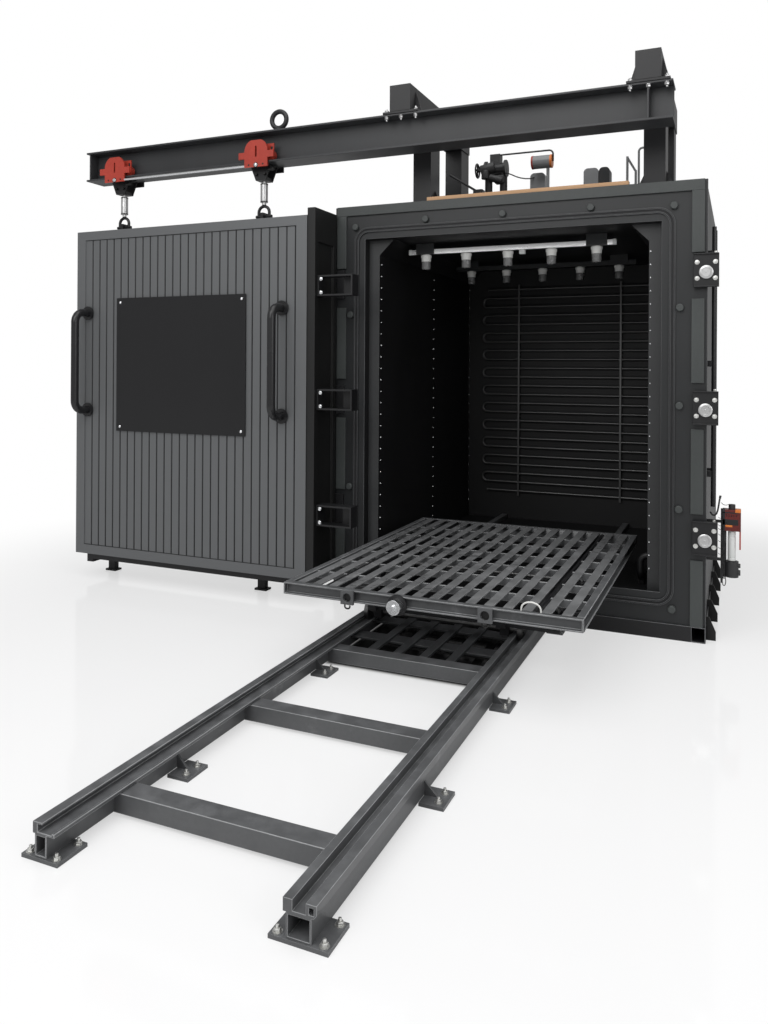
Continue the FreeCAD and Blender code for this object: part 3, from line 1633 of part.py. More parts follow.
nodes = {
    "base_frame": base_frame(),
    "floor_panel": floor_panel(),
    "left_wall": side_wall(-1),
    "right_wall": side_wall(1),
    "back_wall": back_wall(),
    "roof_panel": roof_panel(),
    "face_frame": face_frame(),
    "front_border": front_border(),
    "seal_channel": seal_channel(),
    "stop_pads": stop_pads(),
    "left_duct": duct_panel(-1),
    "right_duct": duct_panel(1),
    "heater_coil": heater_coil(),
    "heater_bars": heater_bars(),
    "lamp_rails": [lamp_row_rail(y) for y in lamp_rows],
    "lamp_holders": [lamp_holder(spot) for spot in lamp_spots()],
    "lamp_jars": [lamp_jar(spot) for spot in lamp_spots()],
    "chamber_rails": chamber_rails(),
    "chamber_pipe": floor_pipe(),
    "edge_clamps": [clamp(level) for clamp in (right_clamp, left_clamp) for level in clamp_levels],
    "side_ribs": [side_rib(side, i) for side in (-1, 1) for i in range(rib_count)],
    "door_panel": door_panel(),
    "door_side_frame": door_side_frame(),
    "door_handles": door_handles(),
    "sign_plate": sign_plate(),
    "door_base": door_base(),
    "door_brackets": [door_bracket(level) for level in bracket_levels],
    "turnbuckles": [turnbuckle(x) for x in trolley_places],
    "door_shackles": [door_shackle(x) for x in trolley_places],
    "runway_beam": runway_beam(),
    "beam_columns": beam_columns(),
    "beam_arms": [beam_arm(x) for x in column_places],
    "lifting_eye": lifting_eye(),
    "trolleys": [trolley_half(x, side) for x in trolley_places for side in (-1, 1)],
    "trolley_yokes": [trolley_yoke(x) for x in trolley_places],
    "tie_bar": tie_bar(),
    "left_rail": track_rail(-1),
    "right_rail": track_rail(1),
    "track_rungs": track_rungs(),
    "track_bed": track_bed(),
    "track_feet": track_feet(),
    "carriage_frame": carriage_frame(),
    "carriage_front_axle": carriage_wheels(carriage_axles()[0]),
    "carriage_rear_axle": carriage_wheels(carriage_axles()[1]),
    "platform_rim": platform_rim(),
    "platform_forks": platform_forks(),
    "platform_cross_bars": platform_cross_bars(),
    "platform_slats": platform_slats(),
    "platform_lugs": platform_lugs(),
    "coupling_hub": coupling_hub(),
    "platform_front_axle": platform_wheels(platform_axles()[0]),
    "platform_rear_axle": platform_wheels(platform_axles()[1]),
    "roof_curb": roof_curb(),
    "roof_valve": [roof_valve(), roof_lever(), impulse_line(), roof_bracket(), roof_vent()],
    "roof_instruments": [roof_gauge()] + roof_boxes(),
    "side_conduits": side_conduits(),
    "service_unit": service_unit(),
    "service_block": service_block(),
}

os.makedirs("parts", exist_ok=True)
for name, shape in nodes.items():
    solids = shape if isinstance(shape, list) else [shape]
    whole = Part.makeCompound([solid for item in solids for solid in item.Solids])
    whole.exportStep("parts/" + name + ".step")
    print(name, len(whole.Solids), whole.isValid(), round(whole.Volume / 1e9, 5))
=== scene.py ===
"""The looks of a transformer drying oven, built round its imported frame."""

import json
import logging
import math
from dataclasses import dataclass
from enum import Enum
from typing import Any, Sequence

import bmesh
import bpy
from mathutils import Matrix, Vector


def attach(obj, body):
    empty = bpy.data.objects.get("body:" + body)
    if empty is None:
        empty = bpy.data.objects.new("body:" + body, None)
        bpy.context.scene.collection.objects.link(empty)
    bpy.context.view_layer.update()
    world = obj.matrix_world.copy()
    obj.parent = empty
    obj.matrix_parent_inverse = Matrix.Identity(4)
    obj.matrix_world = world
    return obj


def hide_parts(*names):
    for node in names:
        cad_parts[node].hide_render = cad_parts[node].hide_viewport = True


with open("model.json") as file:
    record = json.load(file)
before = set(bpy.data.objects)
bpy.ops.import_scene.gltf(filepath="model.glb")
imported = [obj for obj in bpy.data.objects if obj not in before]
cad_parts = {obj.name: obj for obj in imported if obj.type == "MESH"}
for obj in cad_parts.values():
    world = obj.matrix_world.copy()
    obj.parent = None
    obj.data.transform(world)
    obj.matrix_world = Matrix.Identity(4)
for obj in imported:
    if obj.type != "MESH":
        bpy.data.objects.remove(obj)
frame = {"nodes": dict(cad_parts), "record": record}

LOG = logging.getLogger("oven")
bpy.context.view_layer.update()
WHITE = (1.0, 1.0, 1.0, 1.0)
Colour = tuple[float, float, float]
Point = Sequence[float]
Pair = tuple[float, float]
EVERYWHERE: Pair = (-math.inf, math.inf)


class Facing(Enum):
    """A direction that something points or looks in."""

    FRONT = (0.0, -1.0, 0.0)
    RIGHT = (1.0, 0.0, 0.0)
    UP = (0.0, 0.0, 1.0)
    DOWN = (0.0, 0.0, -1.0)

    @property
    def vector(self) -> Vector:
        """The direction as a vector."""
        return Vector(self.value)


# ---- shader recipes ----


class Wire:
    """A node's output whose arithmetic adds Math nodes."""

    def __init__(self, recipe: "Recipe", socket: bpy.types.NodeSocket) -> None:
        """Keeps an output's socket and the recipe that it belongs to."""
        self.recipe = recipe
        self.socket = socket

    def _maths(self, operation: str, first: Any, second: Any) -> "Wire":
        """The result of one Math node, as a wire."""
        return self.recipe.node("ShaderNodeMath", {"operation": operation}, {0: first, 1: second})

    def __add__(self, other: Any) -> "Wire":
        """Adds."""
        return self._maths("ADD", self, other)

    __radd__ = __add__

    def __sub__(self, other: Any) -> "Wire":
        """Subtracts."""
        return self._maths("SUBTRACT", self, other)

    def __rsub__(self, other: Any) -> "Wire":
        """Subtracts the wire from a number."""
        return self._maths("SUBTRACT", other, self)

    def __mul__(self, other: Any) -> "Wire":
        """Multiplies."""
        return self._maths("MULTIPLY", self, other)

    __rmul__ = __mul__

    def step(self, low: float, high: float) -> "Wire":
        """A soft step from 0 at the low value to 1 at the high one."""
        settings = {"interpolation_type": "SMOOTHSTEP"}
        return self.recipe.node("ShaderNodeMapRange", settings, {0: self, 1: low, 2: high, 3: 0.0, 4: 1.0})


class Recipe:
    """A material's node tree, written as values and wires."""

    def __init__(self, name: str) -> None:
        """Starts a material with its surface shader.

        Args:
            name: The material's name.
        """
        self.material = bpy.data.materials.new(name)
        self.material.use_nodes = True
        self.tree = self.material.node_tree
        self.shader = self.tree.nodes["Principled BSDF"]
        self.coordinates = self.node("ShaderNodeTexCoord", {}, {}, "Object")
        normal = self.node("ShaderNodeNewGeometry", {}, {}, "Normal")
        self.upward = self.node("ShaderNodeSeparateXYZ", {}, {0: normal}, 2)

    def node(self, kind: str, settings: dict[str, Any], inputs: dict[Any, Any], output: Any = 0) -> Wire:
        """Adds one node.

        Args:
            kind: The node's type.
            settings: Properties that are set before its sockets.
            inputs: Values or wires by the socket's name or number.
            output: The name or number of the output that is wanted.

        Returns:
            That output as a wire.
        """
        made = self.tree.nodes.new(kind)
        for key, value in settings.items():
            setattr(made, key, value)
        for key, value in inputs.items():
            if isinstance(value, Wire):
                self.tree.links.new(value.socket, made.inputs[key])
            else:
                made.inputs[key].default_value = value
        return Wire(self, made.outputs[output])

    def stretched(self, scale: Point) -> Wire:
        """The object's coordinates, scaled by axis."""
        return self.node("ShaderNodeMapping", {}, {"Vector": self.coordinates, "Scale": scale})

    def noise(self, scale: float, detail: float = 2.0, stretch: Point | None = None, rough: float = 0.5) -> Wire:
        """Plain noise.

        Args:
            scale: How fine the noise is, in waves a metre.
            detail: How many finer layers it has.
            stretch: How the coordinates are scaled first.
            rough: How strong the finer layers are.

        Returns:
            The noise, from 0 to 1.
        """
        where = self.coordinates if stretch is None else self.stretched(stretch)
        return self.node("ShaderNodeTexNoise", {}, {"Vector": where, "Scale": scale, "Detail": detail,
                                                    "Roughness": rough})

    def blend(self, share: Any, first: Any, second: Any) -> Wire:
        """Mixes two colours.

        Args:
            share: How much of the second there is.
            first: The first colour.
            second: The second colour.

        Returns:
            The mixed colour.
        """
        colours = [c if isinstance(c, Wire) else (*c, 1.0) for c in (first, second)]
        settings = {"data_type": "RGBA", "clamp_factor": True}
        return self.node("ShaderNodeMix", settings, {0: share, 6: colours[0], 7: colours[1]}, 2)

    def surface(self, **values: Any) -> None:
        """Sets or links sockets of the surface shader.

        Args:
            values: Values or wires by the socket's name, with _ for a space.
        """
        for key, value in values.items():
            socket = self.shader.inputs[key.replace("_", " ")]
            if isinstance(value, Wire):
                self.tree.links.new(value.socket, socket)
            elif isinstance(value, tuple) and len(value) == 3:
                socket.default_value = (*value, 1.0)
            else:
                socket.default_value = value

    def bumps(self, height: Wire, distance: float, strength: float = 1.0) -> None:
        """Turns a height from 0 to 1 into the surface's normal, where 1 stands for a distance in metres."""
        inputs = {"Strength": strength, "Distance": distance, "Height": height}
        self.surface(Normal=self.node("ShaderNodeBump", {}, inputs))


def tinted(colour: Colour, by: float) -> Colour:
    """A colour made lighter or darker by a factor."""
    return tuple(min(1.0, c * by) for c in colour)


@dataclass(frozen=True)
class Finish:
    """A surface finish: its name, colour and roughness."""

    name: str
    colour: Colour
    roughness: float

    def material(self) -> bpy.types.Material:
        """Makes the material of this finish, or finds the one that is there.

        Returns:
            The material.
        """
        if self.name not in bpy.data.materials:
            self.mix(Recipe(self.name))
        return bpy.data.materials[self.name]

    def mix(self, recipe: Recipe) -> None:
        """Writes the finish into a recipe."""
        raise NotImplementedError

    def shades(self, recipe: Recipe, share: Any, first: float, second: float) -> Wire:
        """Mixes two shades of the finish's colour."""
        return recipe.blend(share, tinted(self.colour, first), tinted(self.colour, second))


@dataclass(frozen=True)
class Paint(Finish):
    """Sprayed paint on steel: cloudy, with a fine peel, dust on top faces and scuffs."""

    mottle: float = 0.16
    dust: float = 0.35
    scuffs: float = 0.0
    streaks: float = 0.25

    def mix(self, recipe: Recipe) -> None:
        """Writes the paint into a recipe.

        Args:
            recipe: The recipe.
        """
        clouds = recipe.noise(1.7, 4.0)
        grain = recipe.noise(60.0, 3.0)
        runs = recipe.noise(9.0, 3.0, (1.0, 1.0, 0.08))
        tone = clouds * (0.6 - self.streaks * 0.3) + grain * 0.2 + runs * (0.2 + self.streaks * 0.3)
        body = self.shades(recipe, tone.step(0.25, 0.75), 1.0 - self.mottle, 1.0 + self.mottle)
        settled = recipe.upward.step(0.6, 1.0) * recipe.noise(14.0, 5.0).step(0.35, 0.8) * self.dust
        dusty = recipe.blend(settled, body, tinted(self.colour, 1.9))
        wear_and_highlight = recipe.noise(5.0, 6.0, (1.0, 1.0, 1.0), 0.7).step(0.58, 0.72) * self.scuffs
        final = recipe.blend(wear_and_highlight, dusty, tinted(self.colour, 2.3))
        peel = recipe.noise(420.0, 1.0) * 0.6 + recipe.noise(60.0, 2.0) * 0.4
        rough = self.roughness + (clouds - 0.5) * 0.14 + (runs - 0.5) * self.streaks * 0.3 + settled * 0.2
        recipe.surface(Base_Color=final, Roughness=rough, Metallic=0.0, Specular_IOR_Level=0.4)
        recipe.bumps(peel, 0.0006, 0.35)


@dataclass(frozen=True)
class Metal(Finish):
    """Bare or plated metal with fine brush lines and stains."""

    stain: float = 0.3
    lines: Point = (1.0, 1.0, 1.0)
    fineness: float = 300.0

    def mix(self, recipe: Recipe) -> None:
        """Writes the metal into a recipe.

        Args:
            recipe: The recipe.
        """
        brushed = recipe.noise(self.fineness, 2.0, self.lines)
        stains = recipe.noise(22.0, 5.0, None, 0.65).step(0.45, 0.75) * self.stain
        body = self.shades(recipe, stains, 1.05, 0.55)
        rough = self.roughness + (brushed - 0.5) * 0.16 + stains * 0.25
        recipe.surface(Base_Color=body, Roughness=rough, Metallic=1.0)
        recipe.bumps(brushed, 0.0002, 0.3)


@dataclass(frozen=True)
class HeatedSteel(Finish):
    """Steel that heat has darkened, with straw and blue clouds."""

    straw: Colour = (0.10, 0.085, 0.07)

    def mix(self, recipe: Recipe) -> None:
        """Writes the darkened steel into a recipe.

        Args:
            recipe: The recipe.
        """
        clouds = recipe.noise(2.6, 5.0, None, 0.6)
        fine = recipe.noise(90.0, 3.0)
        body = recipe.blend(clouds.step(0.35, 0.7), self.colour, self.straw)
        body = recipe.blend(fine.step(0.5, 0.8) * 0.35, body, tinted(self.colour, 1.8))
        recipe.surface(Base_Color=body, Roughness=self.roughness + (fine - 0.5) * 0.2, Metallic=0.65)
        recipe.bumps(fine, 0.0004, 0.4)


@dataclass(frozen=True)
class Glazed(Finish):
    """White glazed ceramic with a faint speckle."""

    def mix(self, recipe: Recipe) -> None:
        """Writes the glaze into a recipe.

        Args:
            recipe: The recipe.
        """
        speckle = recipe.noise(160.0, 4.0).step(0.62, 0.72)
        body = recipe.blend(speckle * 0.25, self.colour, tinted(self.colour, 0.6))
        recipe.surface(Base_Color=body, Roughness=self.roughness + speckle * 0.1, Coat_Weight=0.4)
        recipe.bumps(recipe.noise(50.0, 2.0), 0.0004, 0.2)


@dataclass(frozen=True)
class FrostedGlass(Finish):
    """Thick frosted glass that has yellowed a little."""

    def mix(self, recipe: Recipe) -> None:
        """Writes the glass into a recipe.

        Args:
            recipe: The recipe.
        """
        cloudy = recipe.noise(38.0, 4.0)
        body = self.shades(recipe, cloudy, 0.8, 1.15)
        recipe.surface(Base_Color=body, Roughness=self.roughness + (cloudy - 0.5) * 0.2,
                       Transmission_Weight=0.25, IOR=1.48)
        recipe.bumps(recipe.noise(500.0, 2.0), 0.0003, 0.3)


@dataclass(frozen=True)
class Rubber(Finish):
    """Dull black rubber or plastic with a powdery bloom."""

    def mix(self, recipe: Recipe) -> None:
        """Writes the rubber into a recipe.

        Args:
            recipe: The recipe.
        """
        bloom = recipe.noise(30.0, 5.0, None, 0.7).step(0.4, 0.8)
        body = recipe.blend(bloom * 0.5, self.colour, tinted(self.colour, 2.0))
        recipe.surface(Base_Color=body, Roughness=self.roughness + bloom * 0.15)
        recipe.bumps(recipe.noise(350.0, 3.0), 0.0004, 0.35)


@dataclass(frozen=True)
class FleckedStrip(Finish):
    """A tan sealing strip with dark, red and blue flecks pressed into it."""

    dark: Colour = (0.16, 0.09, 0.06)
    red: Colour = (0.55, 0.10, 0.05)
    blue: Colour = (0.10, 0.16, 0.25)

    def mix(self, recipe: Recipe) -> None:
        """Writes the strip into a recipe.

        Args:
            recipe: The recipe.
        """
        body = self.shades(recipe, recipe.noise(18.0, 4.0), 0.8, 1.15)
        for colour, scale in ((self.red, 70.0), (self.blue, 95.0), (self.dark, 130.0)):
            body = recipe.blend(recipe.noise(scale, 1.0).step(0.68, 0.74), body, colour)
        recipe.surface(Base_Color=body, Roughness=self.roughness)
        recipe.bumps(recipe.noise(240.0, 4.0), 0.0008, 0.5)


BLACK_PAINT = Paint("black_paint", (0.009, 0.009, 0.010), 0.42)
BEAM_PAINT = Paint("beam_paint", (0.030, 0.031, 0.033), 0.42, streaks=0.4)
GRAPHITE_PAINT = Paint("graphite_paint", (0.015, 0.016, 0.017), 0.40)
POST_PAINT = Paint("post_paint", (0.046, 0.051, 0.050), 0.44)
DOOR_PAINT = Paint("door_paint", (0.104, 0.106, 0.110), 0.36, mottle=0.20, scuffs=0.10, streaks=0.8)
# Near-black: the paint of dark parts, and painted shade on the door leaf's right end, in the trolleys' holes and
# in the lugs' bores.
NEAR_BLACK_AND_SHADE = Paint("near_black_and_shade", (0.005, 0.005, 0.005), 0.50)
TRACK_PAINT = Paint("track_paint", (0.082, 0.084, 0.087), 0.34, mottle=0.22, dust=0.7, scuffs=0.5)
SLAT_PAINT = Paint("slat_paint", (0.135, 0.137, 0.140), 0.28, mottle=0.35, dust=0.5, scuffs=0.9)
BED_PAINT = Paint("bed_paint", (0.040, 0.041, 0.043), 0.40, mottle=0.22, dust=0.5, scuffs=0.4)
# Lighter paints for bevels and cross bar tops: partly rubbed wear, partly painted highlight.
WEAR_AND_HIGHLIGHT_GREY = Paint("wear_and_highlight_grey", (0.26, 0.265, 0.27), 0.30, mottle=0.35, dust=0.2, scuffs=0.6)
WEAR_AND_HIGHLIGHT_BLACK = Paint("wear_and_highlight_black", (0.085, 0.087, 0.090), 0.34, mottle=0.35, dust=0.2, scuffs=0.4)
# Near-black inside the chamber: partly its dark paint, partly painted shade.
CHAMBER_PAINT_AND_SHADE = Paint("chamber_paint_and_shade", (0.004, 0.004, 0.0045), 0.55, mottle=0.3, dust=0.1, scuffs=0.1)
WALL_PAINT = Paint("wall_paint", (0.013, 0.014, 0.015), 0.42)
DEEP_RED = Paint("deep_red", (0.11, 0.011, 0.008), 0.34, mottle=0.7, dust=0.1, scuffs=0.1)
DUCT_EDGE_PAINT = Paint("duct_edge_paint", (0.028, 0.029, 0.030), 0.45, mottle=0.2)
SIGN_PAINT = Paint("sign_paint", (0.008, 0.008, 0.009), 0.30, mottle=0.05, dust=0.1)
RED_ENAMEL = Paint("red_enamel", (0.33, 0.036, 0.022), 0.34, mottle=0.22, dust=0.15, scuffs=0.1)
ORANGE_ENAMEL = Paint("orange_enamel", (0.60, 0.17, 0.03), 0.36, mottle=0.1, dust=0.1)
GREY_ENAMEL = Paint("grey_enamel", (0.20, 0.205, 0.21), 0.34, mottle=0.08, dust=0.3)
PALE_ENAMEL = Paint("pale_enamel", (0.62, 0.63, 0.62), 0.34, mottle=0.05, dust=0.1)
HEATER_STEEL = HeatedSteel("heater_steel", (0.050, 0.050, 0.052), 0.36)
PLATED = Metal("plated_steel", (0.78, 0.79, 0.80), 0.24, stain=0.12)
ZINC = Metal("zinc_bolts", (0.66, 0.66, 0.64), 0.38, stain=0.35)
TURNED = Metal("turned_steel", (0.52, 0.52, 0.52), 0.36, stain=0.35)
ALUMINIUM = Metal("aluminium_rail", (0.90, 0.90, 0.90), 0.30, stain=0.12, lines=(0.02, 1.0, 1.0))
PORCELAIN = Glazed("porcelain", (0.88, 0.88, 0.86), 0.22)
FROSTED = FrostedGlass("frosted_glass", (0.22, 0.22, 0.22), 0.26)
RUBBER = Rubber("black_rubber", (0.018, 0.018, 0.019), 0.48)
TAN_STRIP = FleckedStrip("tan_strip", (0.50, 0.29, 0.16), 0.75)
# Near-black used as painted shade in the door's grooves and the seal channel.
SEAM_SHADE = Paint("seam_shade", (0.008, 0.008, 0.009), 0.6, mottle=0.1, dust=0.0)
GLOSS_BLACK = Paint("gloss_black", (0.012, 0.012, 0.013), 0.26, mottle=0.1, dust=0.1)
DULL_STEEL = Metal("dull_steel", (0.16, 0.16, 0.16), 0.42, stain=0.5)


# ---- mesh work ----


WASHER_HEIGHT = 0.002
WASHER_SIDES = 20
HEX_CORNERS = 1.12
HEX_EDGE = 0.06
THREAD_SHARE = 0.55
THREAD_SIDES = 14
THREAD_EDGE = 0.001
BEND_STEPS = 6
NEAR = 0.0005
ALIGNED = 0.9
CREASE = math.radians(35.0)
SHARP = math.radians(40.0)
FLAT = math.radians(0.6)
RECORD = frame["record"]
BODY_OF = {node: body for body, nodes in RECORD["behaviour"]["bodies"].items() for node in nodes}
SLOT_OF = {row["node"]: row["material_slot"] for row in RECORD["subparts"]}


@dataclass(frozen=True)
class BoltSize:
    """The sizes of a hexagonal bolt head, its washer and the thread that stands out of it."""

    across: float
    height: float
    washer: float
    thread: float = 0.0


@dataclass(frozen=True)
class Bar:
    """A round bar between two points, with bevelled ends."""

    start: Point
    end: Point
    diameter: float
    sides: int
    edge: float


def edges_of(verts: Sequence[bmesh.types.BMVert]) -> list[bmesh.types.BMEdge]:
    """The edges at some corners, each once and in a fixed order."""
    return list(dict.fromkeys(edge for vert in verts for edge in vert.link_edges))


class Shape:
    """A bmesh that grows by operators and then becomes one finished piece."""

    def __init__(self) -> None:
        """Starts with nothing."""
        self.bm = bmesh.new()

    def box(self, low: Point, high: Point, edge: float = 0.0) -> None:
        """Adds a box between two corners.

        Args:
            low: Its lowest corner.
            high: Its highest corner.
            edge: How wide its bevelled edges are.
        """
        low, high = Vector(low), Vector(high)
        place = Matrix.Translation((low + high) / 2) @ Matrix.Diagonal((*(high - low), 1.0))
        verts = bmesh.ops.create_cube(self.bm, size=1.0, matrix=place)["verts"]
        if edge > 0.0:
            self.soften_edges(edges_of(verts), edge)

    def soften_edges(self, edges: Sequence[bmesh.types.BMEdge], width: float) -> list[bmesh.types.BMFace]:
        """Bevels some edges to a width and returns the new faces."""
        return bmesh.ops.bevel(self.bm, geom=edges, offset=width, offset_type="OFFSET", affect="EDGES",
                               segments=2, profile=0.5, material=-1, clamp_overlap=True)["faces"]

    def rod(self, start: Point, end: Point, diameter: float, sides: int = 24, tip: float | None = None,
            edge: float = 0.0) -> None:
        """Adds a round, hexagonal or tapered bar between two points.

        Args:
            start: One end.
            end: The other end.
            diameter: Its diameter at the start.
            sides: How many sides it has.
            tip: Its diameter at the end, if it tapers.
            edge: How wide its end edges are bevelled.
        """
        start, end = Vector(start), Vector(end)
        along = end - start
        place = Matrix.Translation((start + end) / 2) @ along.to_track_quat("Z", "Y").to_matrix().to_4x4()
        thin = diameter if tip is None else tip
        made = bmesh.ops.create_cone(self.bm, cap_ends=True, cap_tris=False, segments=sides, radius1=diameter / 2,
                                     radius2=thin / 2, depth=along.length, matrix=place)
        if edge > 0.0:
            rims = [e for e in edges_of(made["verts"]) if any(len(f.verts) > 4 for f in e.link_faces)]
            self.soften_edges(rims, edge)

    def bar(self, bar: Bar) -> None:
        """Adds a bar."""
        self.rod(bar.start, bar.end, bar.diameter, bar.sides, edge=bar.edge)

    def stub(self, at: Point, facing: Facing, diameter: float, proud: float, sides: int, tip: float | None = None,
             sunk: float = 0.0) -> None:
        """Adds a short round bar that stands proud of a face and is sunk into it, tapered where a tip is given."""
        at = Vector(at)
        self.rod(at - facing.vector * sunk, at + facing.vector * proud, diameter, sides, tip)

    def turned(self, profile: Sequence[Point], at: Point, facing: Facing, sides: int = 32) -> None:
        """Spins a profile about an axis.

        Args:
            profile: Pairs of radius and height, from the axis and back to it.
            at: Where height 0 is.
            facing: Which way heights go.
            sides: How many sides it has.
        """
        axis = facing.vector
        place = Matrix.Translation(Vector(at)) @ axis.to_track_quat("Z", "Y").to_matrix().to_4x4()
        before = set(self.bm.verts)
        verts = [self.bm.verts.new(place @ Vector((r, 0.0, h))) for r, h in profile]
        edges = [self.bm.edges.new(pair) for pair in zip(verts, verts[1:])]
        bmesh.ops.spin(self.bm, geom=verts + edges, cent=Vector(at), axis=axis, angle=math.tau, steps=sides,
                       use_merge=True)
        fresh = [v for v in self.bm.verts if v not in before]
        bmesh.ops.remove_doubles(self.bm, verts=fresh, dist=1e-6)

    def bolt(self, at: Point, facing: Facing, size: BoltSize) -> None:
        """Adds a hexagonal bolt head on a washer.

        Args:
            at: Where the washer sits.
            facing: Which way the head points.
            size: Its sizes.
        """
        axis = facing.vector
        foot = Vector(at)
        seat = foot + axis * WASHER_HEIGHT
        head = seat + axis * size.height
        self.rod(foot, seat, size.washer, WASHER_SIDES)
        self.rod(seat, head, size.across * HEX_CORNERS, 6, edge=size.across * HEX_EDGE)
        if size.thread > 0.0:
            tip = head + axis * size.thread
            self.rod(head, tip, size.across * THREAD_SHARE, THREAD_SIDES, edge=THREAD_EDGE)

    def swept(self, points: Sequence[Point], diameter: float, sides: int) -> None:
        """Adds a round bar along a path by bridging rings.

        Args:
            points: The path.
            diameter: The bar's diameter.
            sides: How many sides it has.
        """
        path = [Vector(p) for p in points]
        rings = []
        last = None
        for index, point in enumerate(path):
            before = path[max(index - 1, 0)]
            after = path[min(index + 1, len(path) - 1)]
            along = (after - before).normalized()
            if last is None:
                turn = along.to_track_quat("Z", "Y")
            else:
                turn = last[0].rotation_difference(along) @ last[1]
            last = (along, turn)
            place = Matrix.Translation(point) @ turn.to_matrix().to_4x4()
            ring = bmesh.ops.create_circle(self.bm, cap_ends=index in (0, len(path) - 1), segments=sides,
                                           radius=diameter / 2, matrix=place)["verts"]
            inside = set(ring)
            rings.append([e for e in edges_of(ring) if set(e.verts) <= inside])
        for first, second in zip(rings, rings[1:]):
            bmesh.ops.bridge_loops(self.bm, edges=first + second)

    def piece(self, name: str, finish: Finish, slot: str, body: str = "oven", replaces: Sequence[str] = (),
              recalculate: bool = True) -> bpy.types.Object:
        """Turns the shape into a finished piece that rides on a body.

        Args:
            name: The piece's name.
            finish: Its finish.
            slot: The record's material slot; not used.
            body: The body that carries it.
            replaces: CAD nodes that it stands for.
            recalculate: Whether its normals are worked out anew.

        Returns:
            The piece.
        """
        if recalculate:
            bmesh.ops.recalc_face_normals(self.bm, faces=self.bm.faces)
        mesh = bpy.data.meshes.new(name)
        self.bm.to_mesh(mesh)
        self.bm.free()
        mesh.shade_smooth()
        mesh.set_sharp_from_angle(angle=CREASE)
        made = bpy.data.objects.new(name, mesh)
        bpy.context.scene.collection.objects.link(made)
        mesh.materials.append(finish.material())
        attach(made, body)
        if replaces:
            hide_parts(*replaces)
        LOG.info("%s: %d faces, on %s", name, len(mesh.polygons), body)
        return made


def four(across: float, along: float) -> list[tuple[float, float]]:
    """The offsets of a rectangle's corners from its middle."""
    return [(first, second) for first in (-across, across) for second in (-along, along)]


def rounded_path(corners: Sequence[Point], radius: float) -> list[Vector]:
    """A bent pipe's middle line.

    Args:
        corners: Its ends and corners.
        radius: The bends' radius.

    Returns:
        The points of the line.
    """
    corners = [Vector(c) for c in corners]
    path = [corners[0]]
    for before, corner, after in zip(corners, corners[1:], corners[2:]):
        into = (before - corner).normalized()
        out = (after - corner).normalized()
        half = into.angle(out) / 2
        back = radius / math.tan(half)
        centre = corner + (into + out).normalized() * (radius / math.sin(half))
        start = (corner + into * back - centre).normalized()
        end = (corner + out * back - centre).normalized()
        for step in range(BEND_STEPS + 1):
            path.append(centre + start.slerp(end, step / BEND_STEPS) * radius)
    return path + [corners[-1]]


def dress(node: str, finish: Finish) -> None:
    """Gives a CAD node its finish.

    Args:
        node: The CAD node.
        finish: Its finish.
    """
    data = frame["nodes"][node].data
    data.materials.clear()
    data.materials.append(finish.material())


def softened(node: str, finish: Finish, width: float, wear_and_highlight: Finish | None = None,
             slot: str | None = None) -> bpy.types.Object:
    """A copy of a CAD node with bevelled edges, which stands for it.

    Args:
        node: The CAD node.
        finish: Its finish.
        width: The bevels' width.
        wear_and_highlight: The bevels' own lighter finish: partly rubbed wear, partly a painted highlight along
            the edges.
        slot: The material slot, where it isn't the node's own.

    Returns:
        The copy.
    """
    shape = Shape()
    shape.bm.from_mesh(frame["nodes"][node].data)
    bmesh.ops.remove_doubles(shape.bm, verts=shape.bm.verts, dist=1e-5)
    bmesh.ops.dissolve_limit(shape.bm, angle_limit=FLAT, verts=shape.bm.verts, edges=shape.bm.edges)
    if width > 0.0:
        sharp = [e for e in shape.bm.edges if e.is_manifold and e.calc_face_angle(0.0) > SHARP]
        # Where a second finish is given, the bevel faces take it: a painted edge highlight that is partly rubbed
        # wear.
        for face in shape.soften_edges(sharp, width):
            face.material_index = 0 if wear_and_highlight is None else 1
    made = shape.piece(node + "_finish", finish, slot or SLOT_OF[node], BODY_OF[node], [node], recalculate=False)
    if wear_and_highlight is not None:
        made.data.materials.append(wear_and_highlight.material())
    tidy = made.modifiers.new("flat faces", "WEIGHTED_NORMAL")
    tidy.keep_sharp = True
    return made


def repaint(piece: bpy.types.Object, finish: Finish, x: Pair = EVERYWHERE, y: Pair = EVERYWHERE,
            z: Pair = EVERYWHERE, facing: Facing | None = None) -> None:
    """Gives the faces of a piece whose middles lie in a box another finish.

    Args:
        piece: The piece.
        finish: The other finish.
        x: The box's ends along X.
        y: The box's ends along Y.
        z: The box's ends along Z.
        facing: The direction that the faces must look in, if any.
    """
    slots = piece.data.materials
    paint = finish.material()
    if paint.name not in slots:
        slots.append(paint)
    index = slots.find(paint.name)
    for face in piece.data.polygons:
        inside = all(low <= place <= high for (low, high), place in zip((x, y, z), face.center))
        if inside and (facing is None or face.normal.dot(facing.vector) > ALIGNED):
            face.material_index = index


def close_to(place: float, reach: float) -> Pair:
    """The span that reaches equally far to both sides of a place."""
    return (place - reach, place + reach)


# ---- sub-assemblies ----


